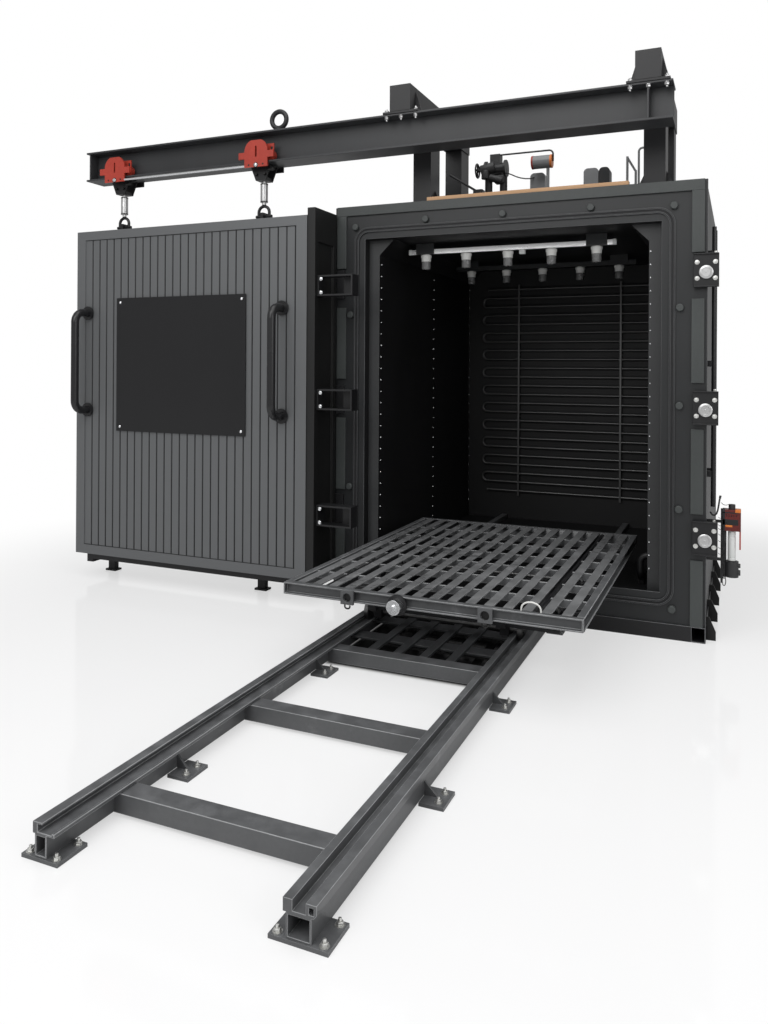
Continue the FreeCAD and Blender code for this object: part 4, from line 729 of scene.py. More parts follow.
@dataclass
class OvenBody:
    """The oven's box, its front trim, pads, clamps and ribs."""

    clamp_x: float = 1.024
    clamp_front: float = -0.030
    clamp_levels: Sequence[float] = (0.5235, 1.1651, 1.8442)
    clamp_half: float = 0.0835
    bolt_reach: Pair = (0.042, 0.040)
    bolt_size: BoltSize = BoltSize(0.016, 0.006, 0.023)
    lip_depth: float = 0.012
    lip_nut: BoltSize = BoltSize(0.012, 0.008, 0.016)
    disc: float = 0.066
    disc_drop: float = 0.010
    disc_height: float = 0.0095
    disc_foot: float = 0.0005
    disc_rings: Sequence[Pair] = ((0, 0.001), (0.12, 0.001), (0.16, 0), (0.6, 0), (0.64, 0.0012), (0.9, 0.0012),
                                  (1, -0.001))
    seal_bottom: float = -0.005
    seal_side: Pair = (-0.0035, -0.001)
    lining_x: Pair = (-0.9, 0.9)
    lining_y: Pair = (0.005, 1.83)
    lining_z: Pair = (0.15, 2.2)

    def build(self) -> None:
        """Builds and dresses the body."""
        for node in ("floor_panel", "left_wall", "right_wall", "back_wall", "roof_panel"):
            wall = softened(node, WALL_PAINT, 0.0)
            # The inside faces are painted near-black: partly the lining's paint, partly painted shade in the
            # chamber.
            repaint(wall, CHAMBER_PAINT_AND_SHADE, self.lining_x, self.lining_y, self.lining_z)
        # The bevels of the face frame, seal channel and base frame get a lighter black: partly rubbed wear, partly
        # painted edge highlight.
        softened("face_frame", GRAPHITE_PAINT, 0.0018, WEAR_AND_HIGHLIGHT_BLACK)
        softened("front_border", POST_PAINT, 0.0015)
        seal = softened("seal_channel", GRAPHITE_PAINT, 0.0016, WEAR_AND_HIGHLIGHT_BLACK)
        # The channel's bottom and the faces beside it are painted near-black: painted shade in the recess.
        low, high = self.seal_side
        repaint(seal, SEAM_SHADE, y=(self.seal_bottom + low, self.seal_bottom + high))
        repaint(seal, SEAM_SHADE, y=close_to(self.seal_bottom, NEAR), facing=Facing.FRONT)
        softened("base_frame", BLACK_PAINT, 0.0025, WEAR_AND_HIGHLIGHT_BLACK)
        softened("side_ribs", NEAR_BLACK_AND_SHADE, 0.0012)
        softened("edge_clamps", BLACK_PAINT, 0.0015)
        dress("stop_pads", POST_PAINT)
        self.clamp_bolts()
        self.clamp_discs()

    def clamp_bolts(self) -> None:
        """Four bright bolts on each right clamp and one nut on its upper lip."""
        shape = Shape()
        for level in self.clamp_levels:
            for dx, dz in four(*self.bolt_reach):
                shape.bolt((self.clamp_x + dx, self.clamp_front, level + dz), Facing.FRONT, self.bolt_size)
            lip = (self.clamp_x + self.bolt_reach[0], self.clamp_front + self.lip_depth, level + self.clamp_half)
            shape.bolt(lip, Facing.UP, self.lip_nut)
        shape.piece("clamp_bolts", ZINC, "bright_steel")

    def clamp_discs(self) -> None:
        """A turned disc with rings in the middle of each right clamp."""
        shape = Shape()
        radius = self.disc / 2
        profile = [(radius * share, self.disc_height + rise) for share, rise in self.disc_rings]
        profile += [(radius, self.disc_foot), (0, self.disc_foot)]
        for level in self.clamp_levels:
            shape.turned(profile, (self.clamp_x, self.clamp_front, level - self.disc_drop), Facing.FRONT)
        shape.piece("clamp_discs", TURNED, "bright_steel")


@dataclass
class Chamber:
    """The chamber's lining, heater, lamps and screws."""

    lamp_rows: Pair = (0.300, 1.210)
    lamp_first: float = -0.569
    lamp_pitch: float = 0.253
    lamp_count: int = 5
    holder_profile: Sequence[Pair] = ((0, 0), (0.018, 0), (0.018, 0.004), (0.031, 0.005), (0.032, 0.008),
                                      (0.032, 0.018), (0.0285, 0.024), (0.0275, 0.044), (0, 0.044))
    jar_profile: Sequence[Pair] = ((0, 0.044), (0.0258, 0.044), (0.0262, 0.046), (0.0262, 0.084), (0.0235, 0.0905),
                                   (0, 0.091))
    rail_left: float = -0.678
    rail_right: float = 0.552
    rail_front: float = 0.285
    rail_rear_row: float = 1.0
    rail_low: float = 2.040
    rail_high: float = 2.070
    rib_rises: Sequence[float] = (0.005, 0.013, 0.021)
    rib_inset: float = 0.004
    rib_proud: float = 0.0016
    rib_sunk: float = 0.0004
    rib_height: float = 0.003
    cap_inset: float = 0.003
    cap_width: float = 0.018
    cap_proud: float = 0.0045
    cap_over: float = 0.001
    box_x: float = 0.024
    box_half: float = 0.016
    box_depth: Pair = (-0.004, 0.026)
    box_height: Pair = (-0.026, 0.002)
    duct_front: float = 0.060
    duct_inner: Pair = (-0.771, 0.745)
    wall_rows: Sequence[float] = (0.088, 0.990, 1.798)
    screw_inset: float = 0.009
    screw_pitch: float = 0.068
    screw_low: float = 0.33
    screw_high: float = 1.99
    screw: float = 0.010
    screw_tip: float = 0.006
    screw_head: float = 0.004

    def build(self) -> None:
        """Builds and dresses the chamber."""
        # The ducts inside the chamber are near-black: partly their paint, partly painted shade.
        for node in ("left_duct", "right_duct"):
            duct = softened(node, CHAMBER_PAINT_AND_SHADE, 0.002)
            repaint(duct, DUCT_EDGE_PAINT, y=close_to(self.duct_front, 2 * NEAR))
        dress("heater_coil", HEATER_STEEL)
        softened("heater_bars", HEATER_STEEL, 0.001)
        rails = softened("lamp_rails", ALUMINIUM, 0.0015)
        repaint(rails, GRAPHITE_PAINT, y=(self.rail_rear_row, math.inf))
        repaint(rails, GRAPHITE_PAINT, y=(-math.inf, self.rail_front - NEAR))
        repaint(rails, GRAPHITE_PAINT, z=(self.rail_high + NEAR, math.inf))
        softened("chamber_rails", TRACK_PAINT, 0.001, slot="track_steel")
        dress("chamber_pipe", CHAMBER_PAINT_AND_SHADE)
        self.lamps()
        self.rail_ribs()
        self.rail_caps()
        self.duct_screws()

    def lamps(self) -> None:
        """White flanged holders, and the grey jars that hang from them."""
        holders = Shape()
        jars = Shape()
        for y in self.lamp_rows:
            for index in range(self.lamp_count):
                at = (self.lamp_first + index * self.lamp_pitch, y, self.rail_low)
                holders.turned(self.holder_profile, at, Facing.DOWN, 28)
                jars.turned(self.jar_profile, at, Facing.DOWN, 28)
        holders.piece("lamp_holders_finish", PORCELAIN, "porcelain", replaces=["lamp_holders"])
        jars.piece("lamp_jars_finish", FROSTED, "lamp_glass", replaces=["lamp_jars"])

    def rail_ribs(self) -> None:
        """Fine ribs along the front rail."""
        shape = Shape()
        for rise in self.rib_rises:
            z = self.rail_low + rise
            shape.box((self.rail_left + self.rib_inset, self.rail_front - self.rib_proud, z),
                      (self.rail_right - self.rib_inset, self.rail_front + self.rib_sunk, z + self.rib_height))
        shape.piece("rail_ribs", ALUMINIUM, "galvanised")

    def rail_caps(self) -> None:
        """The front rail's end caps and its small junction box."""
        shape = Shape()
        y, low, high = self.rail_front, self.rail_low, self.rail_high
        width, over = self.cap_width, self.cap_over
        for x in (self.rail_left + self.cap_inset, self.rail_right - self.cap_inset - width):
            shape.box((x, y - self.cap_proud, low - over), (x + width, y + over, high + over), over)
        (front, back), (bottom, top) = self.box_depth, self.box_height
        shape.box((self.box_x - self.box_half, y + front, low + bottom),
                  (self.box_x + self.box_half, y + back, low + top), 0.002)
        shape.piece("rail_caps", PALE_ENAMEL, "galvanised")

    def duct_screws(self) -> None:
        """Rows of bright screws on the right duct's front edge and along the left duct."""
        shape = Shape()
        left, right = self.duct_inner
        for index in range(int((self.screw_high - self.screw_low) / self.screw_pitch) + 1):
            z = self.screw_low + index * self.screw_pitch
            places = [((right + self.screw_inset, self.duct_front, z), Facing.FRONT)]
            places += [((left, y, z), Facing.RIGHT) for y in self.wall_rows]
            for at, facing in places:
                shape.stub(at, facing, self.screw, self.screw_head, 10, self.screw_tip)
        shape.piece("duct_screws", PLATED, "bright_steel")


@dataclass
class Door:
    """The sliding door with its handles, sign plate, catches and hangers."""

    left: float = -2.743
    right: float = -1.060
    low: float = 0.154
    high: float = 2.213
    board_front: float = -0.294
    groove_depth: float = 0.004
    groove_slack: Pair = (0.0006, 0.0005)
    groove_inset: float = 0.01
    seam_inset: float = 0.02
    # Sizes of the painted shade lines beside the board joints and across the boards' ends.
    shade_line_reach: float = 0.0040
    shade_line: float = 0.0016
    shade_line_proud: float = 0.0003
    shade_line_sunk: float = 0.0006
    seam_ends: Pair = (0.213, 2.156)
    cross_insets: Pair = (0.067, 0.070)
    cross_shade_line: float = 0.004
    sign_low: Pair = (-2.415, 0.948)
    sign_high: Pair = (-1.462, 1.780)
    sign_front: float = -0.304
    sign_inset: float = 0.028
    screw_profile: Sequence[Pair] = ((0, 0.004), (0.005, 0.0035), (0.008, 0.001), (0.008, -0.001), (0, -0.001))
    bracket_x: float = -0.985
    bracket_front: float = -0.270
    bracket_levels: Sequence[float] = (0.520, 1.173, 1.814)
    bracket_reach: float = 0.038
    bracket_bolt: BoltSize = BoltSize(0.015, 0.006, 0.021)
    hangers: Pair = (-2.470, -1.420)
    hanger_y: float = -0.175
    band: float = 0.0455
    band_height: float = 0.007
    band_levels: Pair = (2.331, 2.434)

    def build(self) -> None:
        """Builds and dresses the door."""
        leaf = softened("door_panel", DOOR_PAINT, 0.0008)
        # The grooves' faces are painted near-black: painted shade in the joints between boards.
        before, behind = self.groove_slack
        repaint(leaf, SEAM_SHADE, (self.left + self.groove_inset, self.right - self.groove_inset),
                (self.board_front + before, self.board_front + self.groove_depth + behind),
                (self.low + self.seam_inset, self.high - self.seam_inset))
        # The leaf's right end faces are painted near-black: painted shade on the side turned from the light.
        repaint(leaf, NEAR_BLACK_AND_SHADE, (self.right - NEAR, math.inf))
        softened("door_side_frame", NEAR_BLACK_AND_SHADE, 0.002)
        softened("door_brackets", BLACK_PAINT, 0.0015)
        softened("door_base", BLACK_PAINT, 0.002)
        softened("sign_plate", SIGN_PAINT, 0.001)
        dress("door_handles", GLOSS_BLACK)
        dress("turnbuckles", TURNED)
        dress("door_shackles", BLACK_PAINT)
        self.sign_screws()
        self.bracket_bolts()
        self.hanger_bands()
        self.seam_shade_lines()

    def sign_screws(self) -> None:
        """Four bright screws in the sign plate's corners."""
        shape = Shape()
        for x in (self.sign_low[0] + self.sign_inset, self.sign_high[0] - self.sign_inset):
            for z in (self.sign_low[1] + self.sign_inset, self.sign_high[1] - self.sign_inset):
                shape.turned(self.screw_profile, (x, self.sign_front, z), Facing.FRONT, 18)
        shape.piece("sign_screws", PLATED, "bright_steel")

    def bracket_bolts(self) -> None:
        """Two bright bolts on each catch of the door's side."""
        shape = Shape()
        for level in self.bracket_levels:
            for z in (level + self.bracket_reach, level - self.bracket_reach):
                shape.bolt((self.bracket_x, self.bracket_front, z), Facing.FRONT, self.bracket_bolt)
        shape.piece("bracket_bolts", PLATED, "bright_steel")

    def hanger_bands(self) -> None:
        """Dark lock rings at both ends of each turnbuckle."""
        shape = Shape()
        for x in self.hangers:
            for z in self.band_levels:
                top = (x, self.hanger_y, z + self.band_height)
                shape.rod((x, self.hanger_y, z), top, self.band, 28, edge=0.001)
        shape.piece("hanger_bands", NEAR_BLACK_AND_SHADE, "black_steel")

    def seam_shade_lines(self) -> None:
        """Painted shade: a thin near-black strip along both sides of every joint between the leaf's boards, and
        across their ends, that widens the grooves' dark lines.
        """
        strips = []
        for x in self.seams():
            strips += [(close_to(side, self.shade_line / 2), self.seam_ends) for side in close_to(x, self.shade_line_reach)]
        across = (self.left + self.cross_insets[0], self.right - self.cross_insets[1])
        strips += [(across, close_to(z, self.cross_shade_line / 2)) for z in self.seam_ends]
        shape = Shape()
        for (x0, x1), (z0, z1) in strips:
            shape.box((x0, self.board_front - self.shade_line_proud, z0), (x1, self.board_front + self.shade_line_sunk, z1))
        shape.piece("seam_shade_lines", SEAM_SHADE, "door_paint")

    def seams(self) -> list[float]:
        """Reads the joints between the leaf's boards off the leaf's own mesh.

        Returns:
            The joints' places along X.
        """
        verts = frame["nodes"]["door_panel"].data.vertices
        depth = self.board_front + self.groove_depth
        found = {round(v.co.x, 4) for v in verts if abs(v.co.y - depth) < 0.0004 and self.low < v.co.z < self.high}
        return sorted(x for x in found if self.left + self.seam_inset < x < self.right - self.seam_inset)


@dataclass
class Runway:
    """The overhead beam, its columns and arms, and the trolleys."""

    columns: Pair = (-0.515, 0.768)
    beam_y: float = -0.175
    plate_top: float = 2.746
    plate_bolt: BoltSize = BoltSize(0.020, 0.010, 0.028, 0.006)
    flange_underside: float = 2.723
    flange_nut: BoltSize = BoltSize(0.020, 0.012, 0.026, 0.010)
    bolt_dx: float = 0.085
    bolt_dy: float = 0.068
    trolleys: Pair = (-2.470, -1.420)
    front: float = -0.271
    bolt_z: float = 2.534
    bolt_size: BoltSize = BoltSize(0.016, 0.006, 0.022)
    ring: float = 0.030
    ring_proud: float = 0.0008
    corner: float = 0.011
    corner_proud: float = 0.0006
    hole_sunk: float = 0.001
    corner_dx: float = 0.048
    corner_z: float = 2.536
    cheek_nut: float = 0.017
    cheek_nut_height: float = 0.014
    cheek_dx: Pair = (-0.026, 0.030)
    cheek_y: float = -0.216
    cheek_z: float = 2.490
    pin: float = 0.020
    pin_ends: Pair = (0.060, 0.098)
    pin_shift: float = -0.050
    pin_z: float = 2.512

    def build(self) -> None:
        """Builds and dresses the runway."""
        softened("runway_beam", BEAM_PAINT, 0.002)
        for node in ("beam_columns", "beam_arms"):
            softened(node, BLACK_PAINT, 0.002)
        dress("lifting_eye", BLACK_PAINT)
        trolleys = softened("trolleys", RED_ENAMEL, 0.001)
        repaint(trolleys, BLACK_PAINT, y=(self.beam_y, math.inf))
        softened("trolley_yokes", BLACK_PAINT, 0.001)
        dress("tie_bar", PLATED)
        self.plate_bolts()
        self.trolley_bolts()

    def plate_bolts(self) -> None:
        """Bolts through each arm's plate, with their nuts under the beam's flange."""
        shape = Shape()
        for x in self.columns:
            for dx in (-self.bolt_dx, 0.0, self.bolt_dx):
                for y in close_to(self.beam_y, self.bolt_dy):
                    if dx:
                        shape.bolt((x + dx, y, self.plate_top), Facing.UP, self.plate_bolt)
                    shape.bolt((x + dx, y, self.flange_underside), Facing.DOWN, self.flange_nut)
        shape.piece("arm_bolts", TURNED, "black_steel")

    def trolley_bolts(self) -> None:
        """A bright bolt low on each trolley, with near-black discs as painted shade in its holes, cheek nuts and a
        pin beside it.
        """
        bolts = Shape()
        holes = Shape()
        for x in self.trolleys:
            bolts.bolt((x, self.front, self.bolt_z), Facing.FRONT, self.bolt_size)
            # Near-black discs just proud of the front plate: painted shade in the holes.
            for place in close_to(x, self.corner_dx):
                holes.stub((place, self.front, self.corner_z), Facing.FRONT, self.corner, self.corner_proud, 16,
                           sunk=self.hole_sunk)
            holes.stub((x, self.front, self.bolt_z), Facing.FRONT, self.ring, self.ring_proud, 24,
                       sunk=self.hole_sunk)
            for dx in self.cheek_dx:
                foot = (x + dx, self.cheek_y, self.cheek_z)
                tip = (x + dx, self.cheek_y - self.cheek_nut_height, self.cheek_z)
                holes.rod(foot, tip, self.cheek_nut, 6, edge=0.001)
            start, end = [(x + dx, self.beam_y + self.pin_shift, self.pin_z) for dx in self.pin_ends]
            holes.rod(start, end, self.pin, 16)
        bolts.piece("trolley_bolts", PLATED, "bright_steel")
        holes.piece("trolley_holes", NEAR_BLACK_AND_SHADE, "black_steel")


@dataclass
class Track:
    """The floor track: rails, rungs, bed and floor plates with their bolts."""

    end_middles: Pair = (-0.563, 0.243)
    end_spacing: Pair = (0.095, 0.126)
    end_y: float = -2.622
    end_pitch: float = 0.080
    plate_top: float = 0.011
    inner_edge: float = -0.542
    outer_edge: float = 0.277
    hole_reach: float = 0.0572
    foot_length: float = 0.110
    hole_inset: float = 0.025
    left_feet: Sequence[float] = (-2.160, -1.180)
    right_feet: Sequence[float] = (-1.985, -1.210, -0.172)
    anchor: BoltSize = BoltSize(0.017, 0.008, 0.026, 0.008)

    def build(self) -> None:
        """Builds and dresses the track."""
        # The bevels of the rails, rungs and feet get a lighter grey, and the bed's bevels get the lighter track
        # paint: partly rubbed wear, partly painted edge highlight.
        for node in ("left_rail", "right_rail", "track_rungs", "track_feet"):
            softened(node, TRACK_PAINT, 0.0020, WEAR_AND_HIGHLIGHT_GREY)
        softened("track_bed", BED_PAINT, 0.0015, TRACK_PAINT)
        self.anchor_bolts()

    def anchor_bolts(self) -> None:
        """Bolts with washers in every floor plate."""
        places = []
        for middle, spacing in zip(self.end_middles, self.end_spacing):
            places += [(middle + dx, self.end_y + dy) for dx, dy in four(spacing / 2, self.end_pitch / 2)]
        for edge, feet in ((self.inner_edge, self.left_feet), (self.outer_edge, self.right_feet)):
            for y in feet:
                holes = (y + self.hole_inset, y + self.foot_length - self.hole_inset)
                places += [(edge + self.hole_reach, hole) for hole in holes]
        shape = Shape()
        for x, y in places:
            shape.bolt((x, y, self.plate_top), Facing.UP, self.anchor)
        shape.piece("anchor_bolts", ZINC, "bright_steel")


class Carriage:
    """The transfer carriage and its wheels."""

    def build(self) -> None:
        """Dresses the carriage."""
        softened("carriage_frame", BLACK_PAINT, 0.0015)
        for node in ("carriage_front_axle", "carriage_rear_axle"):
            dress(node, DULL_STEEL)


@dataclass
class Platform:
    """The slatted load platform."""

    lug_middles: Pair = (-0.372, 0.245)
    lug_front: float = -1.172
    lug_bottom: float = 0.330
    lug_height: float = 0.060
    lug_bore: float = 0.036
    bore_proud: float = 0.0015
    bore_sunk: float = 0.001
    rim_front: float = -1.158
    hook: float = 0.007
    hook_setback: float = 0.008
    hook_bend: float = 0.009
    hook_corners: Sequence[Pair] = ((-0.012, 0.004), (-0.012, -0.018), (0.012, -0.018), (0.012, -0.004))
    strap: float = 0.007
    strap_ends: Pair = (0.385, 0.465)
    strap_y: float = -1.135
    strap_top: float = 0.428
    strap_sunk: float = 0.001
    strap_steps: int = 14
    strap_flatness: float = 0.7
    deck: float = 0.390
    bar_top: float = 0.384
    hub_face: float = -1.185

    def build(self) -> None:
        """Builds and dresses the platform."""
        # The bevels of the rim, slats and cross bars get a lighter grey: partly rubbed wear, partly painted edge
        # highlight.
        softened("platform_rim", TRACK_PAINT, 0.0018, WEAR_AND_HIGHLIGHT_GREY)
        softened("platform_slats", SLAT_PAINT, 0.0010, WEAR_AND_HIGHLIGHT_GREY)
        softened("platform_lugs", TRACK_PAINT, 0.0012)
        dress("platform_forks", BLACK_PAINT)
        bars = softened("platform_cross_bars", TRACK_PAINT, 0.0012, WEAR_AND_HIGHLIGHT_GREY)
        # The cross bars' top faces are painted the lighter grey: a painted highlight, partly rubbed wear.
        repaint(bars, WEAR_AND_HIGHLIGHT_GREY, z=close_to(self.bar_top, 2 * NEAR))
        hub = softened("coupling_hub", BLACK_PAINT, 0.001)
        repaint(hub, PLATED, y=(-math.inf, self.hub_face))
        for node in ("platform_front_axle", "platform_rear_axle"):
            dress(node, DULL_STEEL)
        self.lug_hooks()
        self.strap_loop()

    def lug_hooks(self) -> None:
        """A small steel hook under each lug, and a near-black disc as painted shade in its bore."""
        shape = Shape()
        y = self.lug_front + self.hook_setback
        for x in self.lug_middles:
            corners = [(x + dx, y, self.lug_bottom + dz) for dx, dz in self.hook_corners]
            shape.swept(rounded_path(corners, self.hook_bend), self.hook, 10)
            # A near-black disc just proud of the rim: painted shade in the lug's bore.
            at = (x, self.rim_front, self.lug_bottom + self.lug_height / 2)
            shape.stub(at, Facing.FRONT, self.lug_bore, self.bore_proud, 20, sunk=self.bore_sunk)
        shape.piece("lug_hooks", NEAR_BLACK_AND_SHADE, "black_steel", "platform")

    def strap_loop(self) -> None:
        """A short white webbing loop that stands on the rim's right front."""
        left, right = self.strap_ends
        middle, half = (left + right) / 2, (right - left) / 2
        rise = self.strap_top - self.deck
        path = []
        for step in range(self.strap_steps + 1):
            angle = math.pi * step / self.strap_steps
            z = self.deck - self.strap_sunk + rise * math.sin(angle) ** self.strap_flatness
            path.append((middle - half * math.cos(angle), self.strap_y, z))
        shape = Shape()
        shape.swept(path, self.strap, 10)
        shape.piece("strap_loop", PORCELAIN, "track_steel", "platform")


@dataclass
class RoofAndSide:
    """What stands on the roof and hangs on the right wall."""

    gauge_ends: Pair = (0.065, 0.181)
    gauge_y: float = 0.350
    gauge_z: float = 2.548
    gauge: float = 0.075
    cap: float = 0.010
    cap_over: float = 0.001
    grey_valve: Sequence[Pair] = ((0.59, 0.70), (0.3, 0.4), (2.3, 2.7))
    dark_box: Sequence[Pair] = ((0.43, 0.50), (0.4, 0.6), (2.3, 2.7))
    motor: Bar = Bar((-0.235, 0.330, 2.522), (-0.150, 0.330, 2.540), 0.066, 24, 0.004)
    neck: Bar = Bar((-0.205, 0.318, 2.470), (-0.205, 0.318, 2.520), 0.050, 20, 0.003)
    gear_low: Point = (-0.150, 0.312, 2.440)
    gear_high: Point = (-0.095, 0.362, 2.486)
    gear_neck: Bar = Bar((-0.180, 0.318, 2.478), (-0.104, 0.318, 2.452), 0.044, 20, 0.003)
    roof_hose: float = 0.007
    roof_hose_path: Sequence[Point] = (
        (-0.100, 0.335, 2.500), (-0.080, 0.332, 2.498), (-0.055, 0.334, 2.488), (-0.030, 0.344, 2.476),
        (-0.005, 0.362, 2.469), (0.020, 0.386, 2.468), (0.045, 0.412, 2.472), (0.060, 0.426, 2.480))

    def build(self) -> None:
        """Builds and dresses the roof and side equipment."""
        softened("roof_curb", TAN_STRIP, 0.001)
        valve = softened("roof_valve", BLACK_PAINT, 0.0)
        repaint(valve, GREY_ENAMEL, *self.grey_valve)
        boxes = softened("roof_instruments", GREY_ENAMEL, 0.0015)
        repaint(boxes, GRAPHITE_PAINT, *self.dark_box)
        dress("side_conduits", GLOSS_BLACK)
        self.gauge_caps()
        self.valve_drive()

    def gauge_caps(self) -> None:
        """Red and orange end caps on the roof's round instrument."""
        left, right = self.gauge_ends
        caps = (("gauge_left_cap", RED_ENAMEL, left - self.cap_over, left + self.cap),
                ("gauge_right_cap", ORANGE_ENAMEL, right - self.cap, right + self.cap_over))
        for name, finish, start, end in caps:
            shape = Shape()
            shape.rod((start, self.gauge_y, self.gauge_z), (end, self.gauge_y, self.gauge_z),
                      self.gauge + 2 * self.cap_over, 32, edge=0.001)
            shape.piece(name, finish, "trolley_red")

    def valve_drive(self) -> None:
        """The valve's drive and the thin hose between it and the first box."""
        shape = Shape()
        shape.bar(self.motor)
        shape.bar(self.neck)
        shape.box(self.gear_low, self.gear_high, 0.004)
        shape.bar(self.gear_neck)
        shape.swept(self.roof_hose_path, self.roof_hose, 10)
        shape.piece("valve_drive", RUBBER, "black_steel")


@dataclass
class ServiceUnit:
    """The service unit on the right wall: its block, sleeve, bowl and thin lines."""

    block_x: Pair = (1.104, 1.187)
    block_y: Pair = (0.060, 0.120)
    block_z: Pair = (0.554, 0.659)
    band_levels: Sequence[Pair] = ((0.030, 0.058), (0.088, 0.094))
    band_end: float = 0.012
    band_skin: Pair = (0.0006, 0.0008)
    edge_band: float = 0.010
    edge_skin: float = 0.0010
    band_bevel: float = 0.0004
    stud: float = 0.005
    stud_tip: float = 0.0035
    stud_height: float = 0.0022
    stud_rows: Pair = (0.074, 0.081)
    stud_first: float = 0.018
    stud_pitch: float = 0.011
    stud_count: int = 5
    label_size: Pair = (0.026, 0.012)
    label_skin: float = 0.0008
    label_front: float = 0.0010
    label_end: float = 0.0012
    patch_x: Pair = (0.012, 0.044)
    patch_y: Pair = (-0.0012, 0.001)
    patch_z: Pair = (0.020, 0.030)
    strip_low: float = 0.462
    strip_width: float = 0.007
    strip_depth: Pair = (0.014, 0.028)
    axis_x: float = 1.1455
    axis_y: float = 0.090
    sleeve_radius: float = 0.01875
    sleeve_ends: Pair = (0.405, 0.551)
    sleeve_waist: float = 0.965
    sleeve_groove: Sequence[float] = (0.012, 0.014, 0.018, 0.020)
    sleeve_shoulder: Pair = (0.032, 0.030)
    nose_start: float = 0.025
    nose_end: float = 1.186
    noses: Sequence[Pair] = ((0.345, 0.028), (0.380, 0.022))
    line: float = 0.0026
    line_levels: Sequence[float] = (0.622, 0.584, 0.566, 0.538, 0.505, 0.472, 0.443, 0.421)
    line_course: Sequence[Point] = ((1.084, 0.050, 0.0), (1.090, 0.053, -0.006), (1.097, 0.062, -0.007),
                                    (1.105, 0.080, -0.003))
    wire: float = 0.0030
    wire_path: Sequence[Point] = ((1.096, 0.066, 0.692), (1.104, 0.068, 0.684), (1.113, 0.072, 0.680),
                                  (1.122, 0.078, 0.680), (1.134, 0.084, 0.684))
    hose: float = 0.0085
    hose_path: Sequence[Point] = (
        (1.046, 0.078, 0.640), (1.056, 0.066, 0.628), (1.066, 0.061, 0.627), (1.075, 0.060, 0.636),
        (1.081, 0.060, 0.655), (1.085, 0.060, 0.680), (1.088, 0.060, 0.702), (1.0916, 0.060, 0.7205))
    hose_end: Bar = Bar((1.0905, 0.060, 0.714), (1.0930, 0.060, 0.7275), 0.011, 14, 0.001)
    loop: float = 0.0042
    loop_middle: Pair = (1.111, 0.078)
    loop_reach: Pair = (0.008, 0.023)
    loop_first: float = 0.300
    loop_pitch: float = 0.036
    loop_count: int = 6
    loop_steps: int = 16
    spine_low: Point = (1.104, 0.084, 0.322)
    spine_high: Point = (1.121, 0.096, 0.555)

    def build(self) -> None:
        """Builds and dresses the service unit."""
        dress("service_unit", RUBBER)
        softened("service_block", DEEP_RED, 0.0015)
        self.block_bands()
        self.block_studs()
        self.block_labels()
        self.sleeve()
        self.bowl_nose()
        self.service_lines()

    def block_bands(self) -> None:
        """Black bands round the block and down its left edge."""
        (x0, x1), (y0, y1), (z0, z1) = self.block_x, self.block_y, self.block_z
        side, front = self.band_skin
        shape = Shape()
        for low, high in self.band_levels:
            shape.box((x0 - side, y0 - front, z0 + low), (x1 - self.band_end, y1 + side, z0 + high),
                      self.band_bevel)
        shape.box((x0 - self.edge_skin, y0 - front, z0), (x0 + self.edge_band, y1 + side, z1), self.band_bevel)
        shape.piece("block_bands", BLACK_PAINT, "black_steel")

    def block_studs(self) -> None:
        """Two rows of dark studs on the block's front."""
        shape = Shape()
        for row in self.stud_rows:
            for index in range(self.stud_count):
                x = self.block_x[0] + self.stud_first + index * self.stud_pitch
                at = (x, self.block_y[0], self.block_z[0] + row)
                shape.stub(at, Facing.FRONT, self.stud, self.stud_height, 10, self.stud_tip)
        shape.piece("block_studs", NEAR_BLACK_AND_SHADE, "black_steel")

    def block_labels(self) -> None:
        """Orange patches on the block and the red strip below its right edge."""
        (x0, x1), (y0, y1), (z0, z1) = self.block_x, self.block_y, self.block_z
        width, height = self.label_size
        skin = self.label_skin
        shape = Shape()
        shape.box((x1 - width, y0 - self.label_front, z1 - height), (x1 - self.label_end, y1 + skin, z1 + skin),
                  self.band_bevel)
        (left, right), (front, back), (low, high) = self.patch_x, self.patch_y, self.patch_z
        shape.box((x0 + left, y0 + front, z0 + low), (x0 + right, y0 + back, z0 + high), 0.0003)
        shape.piece("block_labels", ORANGE_ENAMEL, "trolley_red")
        front, back = self.strip_depth
        strip = Shape()
        strip.box((x1 - self.strip_width, y0 + front, self.strip_low), (x1, y0 + back, z0 + 0.001), 0.001)
        strip.piece("side_strip", RED_ENAMEL, "trolley_red")

    def sleeve(self) -> None:
        """A bright sleeve round the unit's cylinder, with a groove and a narrower upper end."""
        low, high = self.sleeve_ends
        length = high - low
        wide, narrow = self.sleeve_radius, self.sleeve_radius * self.sleeve_waist
        groove = list(zip((wide, narrow, narrow, wide), self.sleeve_groove))
        shoulder = [(radius, length - drop) for radius, drop in zip((wide, narrow), self.sleeve_shoulder)]
        profile = [(0, 0), (wide, 0), *groove, *shoulder, (narrow, length), (0, length)]
        shape = Shape()
        shape.turned(profile, (self.axis_x, self.axis_y, low), Facing.UP, 28)
        shape.piece("sleeve", PALE_ENAMEL, "bright_steel")

    def bowl_nose(self) -> None:
        """The two ports on the unit's bowl."""
        shape = Shape()
        for z, diameter in self.noses:
            start = (self.axis_x + self.nose_start, self.axis_y, z)
            shape.rod(start, (self.nose_end, self.axis_y, z), diameter, 20, edge=0.002)
        shape.piece("bowl_nose", RUBBER, "black_steel")

